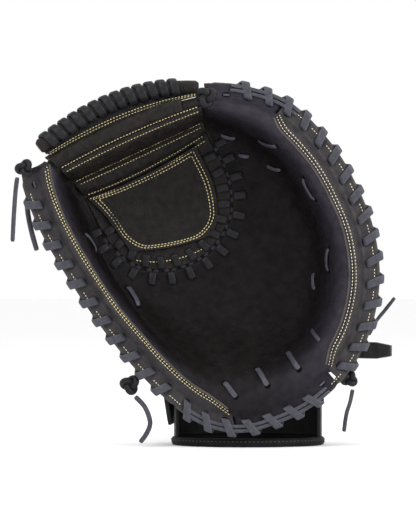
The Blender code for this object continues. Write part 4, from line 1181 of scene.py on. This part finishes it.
edges = []
for index, name in enumerate(STALLS):
    first = RIM_SHARES[index] + GAP_SHARE
    last = RIM_SHARES[index + 1] - GAP_SHARE
    a = Vector(STALL_BASE[index])
    b = Vector(STALL_BASE[index + 1])
    inset_way = (b - a).normalized() * 0.5
    target = line_target((a + inset_way, (a + b) / 2, b - inset_way), first, last)
    outer, normals = back_leather(name, first, last, target, (0.05, 1.0), 24 if index == 0 else 36, 36, 9, 30)
    edges.append((outer, normals))
side_first = RIM_SHARES[-1] + GAP_SHARE
side_last = HEEL_SPAN[0] - 0.018
side_target = line_target(((101, 83), (88, 76), (72, 66)), side_first, side_last)
back_leather("little_finger_side", side_first, side_last, side_target, (1.0, 0.9), 36, 30, 2, 30, 0.3)
thumb_first = HEEL_SPAN[1] + 0.016
thumb_target = line_target(THUMB_INNER, thumb_first, 0.98)
back_leather("thumb_back", thumb_first, 0.98, thumb_target, (-0.6, -0.5), 34, 6, 16, 60)
for index, ((left, left_normals), (right, right_normals)) in enumerate(zip(edges, edges[1:])):
    path = (left[-1, 6:] + right[0, 6:]) / 2
    normals = unit(left_normals[-1, 6:] + right_normals[0, 6:])
    sides = across_line(path, normals)
    piece(f"stall_seam_{index + 1}", [strip(path + normals * 0.1, sides, 2.6, 2.0, 0.9)], "edge", "bend")

# ---- wrist opening and strap
RING_CENTRE = Vector((35, 15))
RING_HALF = Vector((59, 37))
BINDING_TALL = 7.0
BINDING_WIDE = 7.0
BAND_THICK = 2.6


def ring_point(turn, grow, height):
    return Vector((RING_CENTRE.x + (RING_HALF.x + grow) * math.cos(turn),
                   RING_CENTRE.y + (RING_HALF.y + grow) * math.sin(turn), height))


def ring_stitches(turns, grow, height_of, **settings):
    """A row of stitches round the outside of the wrist ring."""
    row = [ring_point(turn, grow, height_of(turn)) for turn in turns]
    out = unit(np.array([ring_point(turn, 20, 0) - ring_point(turn, 0, 0) for turn in turns]))
    return stitches(row, out, **settings)


RING_STEPS = 120
path = [ring_point(math.tau * index / RING_STEPS, 0, BINDING_TALL / 2) for index in range(RING_STEPS)]
roll = strip(path, [Vector((0, 0, 1))] * RING_STEPS, BINDING_TALL, BINDING_WIDE, 0.75, 16, True)
piece("wrist_binding_roll", [roll], "binding", "finger_side", ("wrist_binding",))
row = ring_stitches(spread(0, math.tau, RING_STEPS), BINDING_WIDE / 2 + 0.05, lambda turn: 4.6,
                    pitch=3.4, size=(0.9, 0.34, 0.28))
piece("wrist_binding_stitches", [row], "edge", "finger_side")


def band_top(turn):
    return 50 - 10 * abs(math.cos(turn))


turns = spread(math.radians(-14), math.radians(194), 80)
sheets = ([[ring_point(turn, reach, height) for height in spread(BINDING_TALL + 0.3, band_top(turn), 14)]
           for turn in turns] for reach in (BAND_THICK / 2, -BAND_THICK / 2))
piece("wrist_band_skin", [thick_sheet(*sheets)], "shell", "finger_side", ("wrist_band",))
turns = spread(math.radians(-12), math.radians(192), 90)
rows = [ring_stitches(turns, BAND_THICK / 2, lambda turn: band_top(turn) - drop) for drop in (3.0, 6.0)]
piece("wrist_band_stitches", rows, "cream", "finger_side")

STRAP_TAPER = 0.22
STRAP_WIDE = 34.0
STRAP_THICK = 3.6
STRAP_LINE = Curve(((-29.5, 17, 33), (-20.5, 38, 36), (6, 55, 42), (36, 60, 50), (66, 57, 60), (92, 50, 69),
                    (112, 44, 75)))
STRAP_UP = Vector((-0.12, 0, 1)).normalized()


def strap_place(share, across, lift):
    ahead = STRAP_LINE.heading(share, 0.02)
    up = (STRAP_UP - ahead * STRAP_UP.dot(ahead)).normalized()
    out = ahead.cross(up)
    centre = STRAP_LINE.at(share)
    if out.dot(centre - Vector((RING_CENTRE.x, RING_CENTRE.y, centre.z))) < 0:
        out = -out
    return centre + up * across * (1 - STRAP_TAPER * share) + out * lift, out


def strap_sheet(first, last, wide, low, high, crown):
    near = []
    far = []
    for share in spread(first, last, 80):
        near.append([strap_place(share, across * wide / 2, low)[0] for across in spread(-1, 1, 14)])
        far.append([strap_place(share, across * wide / 2, high + crown * (1 - across**4))[0]
                    for across in spread(-1, 1, 14)])
    return thick_sheet(near, far)


strap = strap_sheet(0, 0.93, STRAP_WIDE, 0, STRAP_THICK - 0.3, 0.3)
piece("wrist_strap_skin", [strap], "shell", "finger_side", ("wrist_strap",))
facing = strap_sheet(0.143, 0.858, STRAP_WIDE - 9, STRAP_THICK + 0.1, STRAP_THICK + 1.8, 0.5)
piece("strap_facing_fleece", [facing], "fleece", "finger_side", ("strap_facing",))
rows = []
for across in (-0.46, 0.46):
    found = [strap_place(share, across * (STRAP_WIDE - 3), STRAP_THICK) for share in spread(0.01, 0.92, 80)]
    rows.append(stitches(np.array([spot for spot, _ in found]), np.array([out for _, out in found])))
piece("wrist_strap_stitches", rows, "cream", "finger_side")

# ---- strap tail, its loops and the lace pin
PIN_AT = Vector((117.5, 41, 76.5))
PIN_RADIUS = 1.7
PIN_HALF = 12.0
LOOP_THICK = 2.2
TAIL_HALF = 6.5
KNUCKLE_GAP = 0.5


def turned(centre, profile, corners=24):
    return loft([[centre + Vector((radius * math.cos(turn), radius * math.sin(turn), height))
                  for turn in (math.tau * corner / corners for corner in range(corners))]
                 for radius, height in profile])


# The lace's tied end: its radius, and how far beyond the loops it is.
PIN_HEAD = ((1.2, 3.4), (2.4, 3.3), (3.1, 2.6), (3.3, 1.8), (3.1, 1.0), (PIN_RADIUS, 0.5))
profile = [(radius, -PIN_HALF - beyond) for radius, beyond in PIN_HEAD]
profile += [(radius, PIN_HALF + beyond) for radius, beyond in reversed(PIN_HEAD)]
piece("strap_pin_lace_core", [turned(PIN_AT, profile)], "lace", "finger_side", ("strap_pin_lace",))


def hairpin(name, far, low, high, body, tip=0.0):
    """A leather strip that runs to the pin and wraps round it."""
    centre = Vector((PIN_AT.x, PIN_AT.y))
    toward = (centre - Vector(far)).normalized()
    side = Vector((-toward.y, toward.x))
    radius = PIN_RADIUS + 0.5 + LOOP_THICK / 2
    start = Vector(far) + side * radius
    path = [start.lerp(centre + side * radius, part) for part in spread(0, 0.95, 16)]
    path += [centre + side * radius * math.cos(angle) + toward * radius * math.sin(angle)
             for angle in spread(0, math.radians(255), 30)]
    front = []
    back = []
    for index, point in enumerate(path):
        ahead = (path[min(index + 1, len(path) - 1)] - path[max(index - 1, 0)]).normalized()
        across = Vector((-ahead.y, ahead.x)) * LOOP_THICK / 2
        narrow = tip * max(1 - index / 5, 0)
        heights = spread(low + narrow, high - narrow, 8)
        for grid, spot in ((front, point + across), (back, point - across)):
            grid.append([Vector((spot.x, spot.y, height)) for height in heights])
    piece(name + "_skin", [thick_sheet(front, back, 0.3)], "tab", body, (name,))


low = PIN_AT.z - TAIL_HALF
high = PIN_AT.z + TAIL_HALF
hairpin("strap_tail", (153.5, 13.5), low, high, "strap_end", 2.2)
hairpin("upper_strap_loop", (103, 51.5), high + KNUCKLE_GAP, PIN_AT.z + PIN_HALF, "finger_side")
hairpin("lower_strap_loop", (103, 51.5), PIN_AT.z - PIN_HALF, low - KNUCKLE_GAP, "finger_side")


# ---- finger loops and knots
def finger_loop(name, body, centre, radius, wide, thick=1.8, sweep=250):
    axis = Vector((0, 0, -1))
    first = axis.cross(Vector((0, 1, 0))).normalized()
    second = axis.cross(first)
    grids = ([], [])
    for angle in spread(math.radians(-sweep / 2), math.radians(sweep / 2), 50):
        out = second * math.cos(angle) + first * math.sin(angle)
        for grid, reach in zip(grids, (radius + thick, radius)):
            spot = Vector(centre) + out * reach
            grid.append([spot + axis * wide * across for across in spread(0.5, -0.5, 8)])
    piece(name + "_skin", [thick_sheet(grids[0], grids[1], 0.3)], "tab", body, (name,))


finger_loop("little_finger_loop", "finger_side", (70, 28.0, 112), 10.5, 13)
finger_loop("thumb_loop", "thumb_side", (-28, 27.5, 100), 9.0, 12)
KNOT_STEPS = 84


def knot(name, body, centre, scale, radius, tilt=0.0):
    path = []
    for index in range(KNOT_STEPS):
        t = math.tau * index / KNOT_STEPS
        x = math.sin(t) + 2 * math.sin(2 * t)
        z = math.cos(t) - 2 * math.cos(2 * t)
        spot = Vector((x * math.cos(tilt) - z * math.sin(tilt), -math.sin(3 * t) * 1.15,
                       x * math.sin(tilt) + z * math.cos(tilt)))
        path.append(Vector(centre) + spot * scale)
    sides = [Vector((0.2, 1, 0.1))] * KNOT_STEPS
    lace = strip(path, sides, radius * 2.3, radius * 2.5, 0.75, 12, True)
    # Knots use the darker copy of the lace leather: painted shade.
    piece(name + "_tied", [lace], "wrap", body, (name,))


knot("web_corner_knot", "bend", (1, -50.5, 280), 2.2, 2.1)
knot("thumb_tip_knot", "thumb_side", (-143, -51.5, 223), 1.9, 1.8, 0.6)
knot("thumb_heel_knot", "thumb_side", (-60, -25, 50.5), 2.05, 2.0, 0.3)
knot("finger_side_knot", "finger_side", (116, -19, 55), 1.8, 1.75, 0.9)

# ---- floor and light
bpy.ops.mesh.primitive_circle_add(vertices=96, radius=9, fill_type="NGON", location=(0, 0, 0))
floor = bpy.context.object
floor.name = "studio_floor"
pale = bpy.data.materials.new("pale_floor")
pale.use_nodes = True
shader = pale.node_tree.nodes["Principled BSDF"]
shader.inputs["Base Color"].default_value = (0.96, 0.96, 0.96, 1)
shader.inputs["Roughness"].default_value = 0.9
floor.data.materials.append(pale)
world = bpy.data.worlds.new("studio")
bpy.context.scene.world = world
world.use_nodes = True
world.node_tree.nodes["Background"].inputs["Color"].default_value = (1, 1, 1, 1)
world.node_tree.nodes["Background"].inputs["Strength"].default_value = 1.0
bpy.context.scene.view_settings.view_transform = "Standard"


def soft_light(name, place, aim, size, power):
    data = bpy.data.lights.new(name, "AREA")
    data.shape = "DISK"
    data.size = size
    data.energy = power
    light = bpy.data.objects.new(name, data)
    bpy.context.scene.collection.objects.link(light)
    light.location = place
    light.rotation_euler = (Vector(aim) - Vector(place)).to_track_quat("-Z", "Y").to_euler()


soft_light("key", (-0.7, -1.1, 1.3), (0, 0, 0.15), 0.7, 12)
soft_light("fill", (1.1, -0.8, 0.6), (-0.05, 0, 0.15), 0.8, 11)
soft_light("top", (0.1, 0.1, 1.4), (0, 0, 0.15), 0.7, 3)
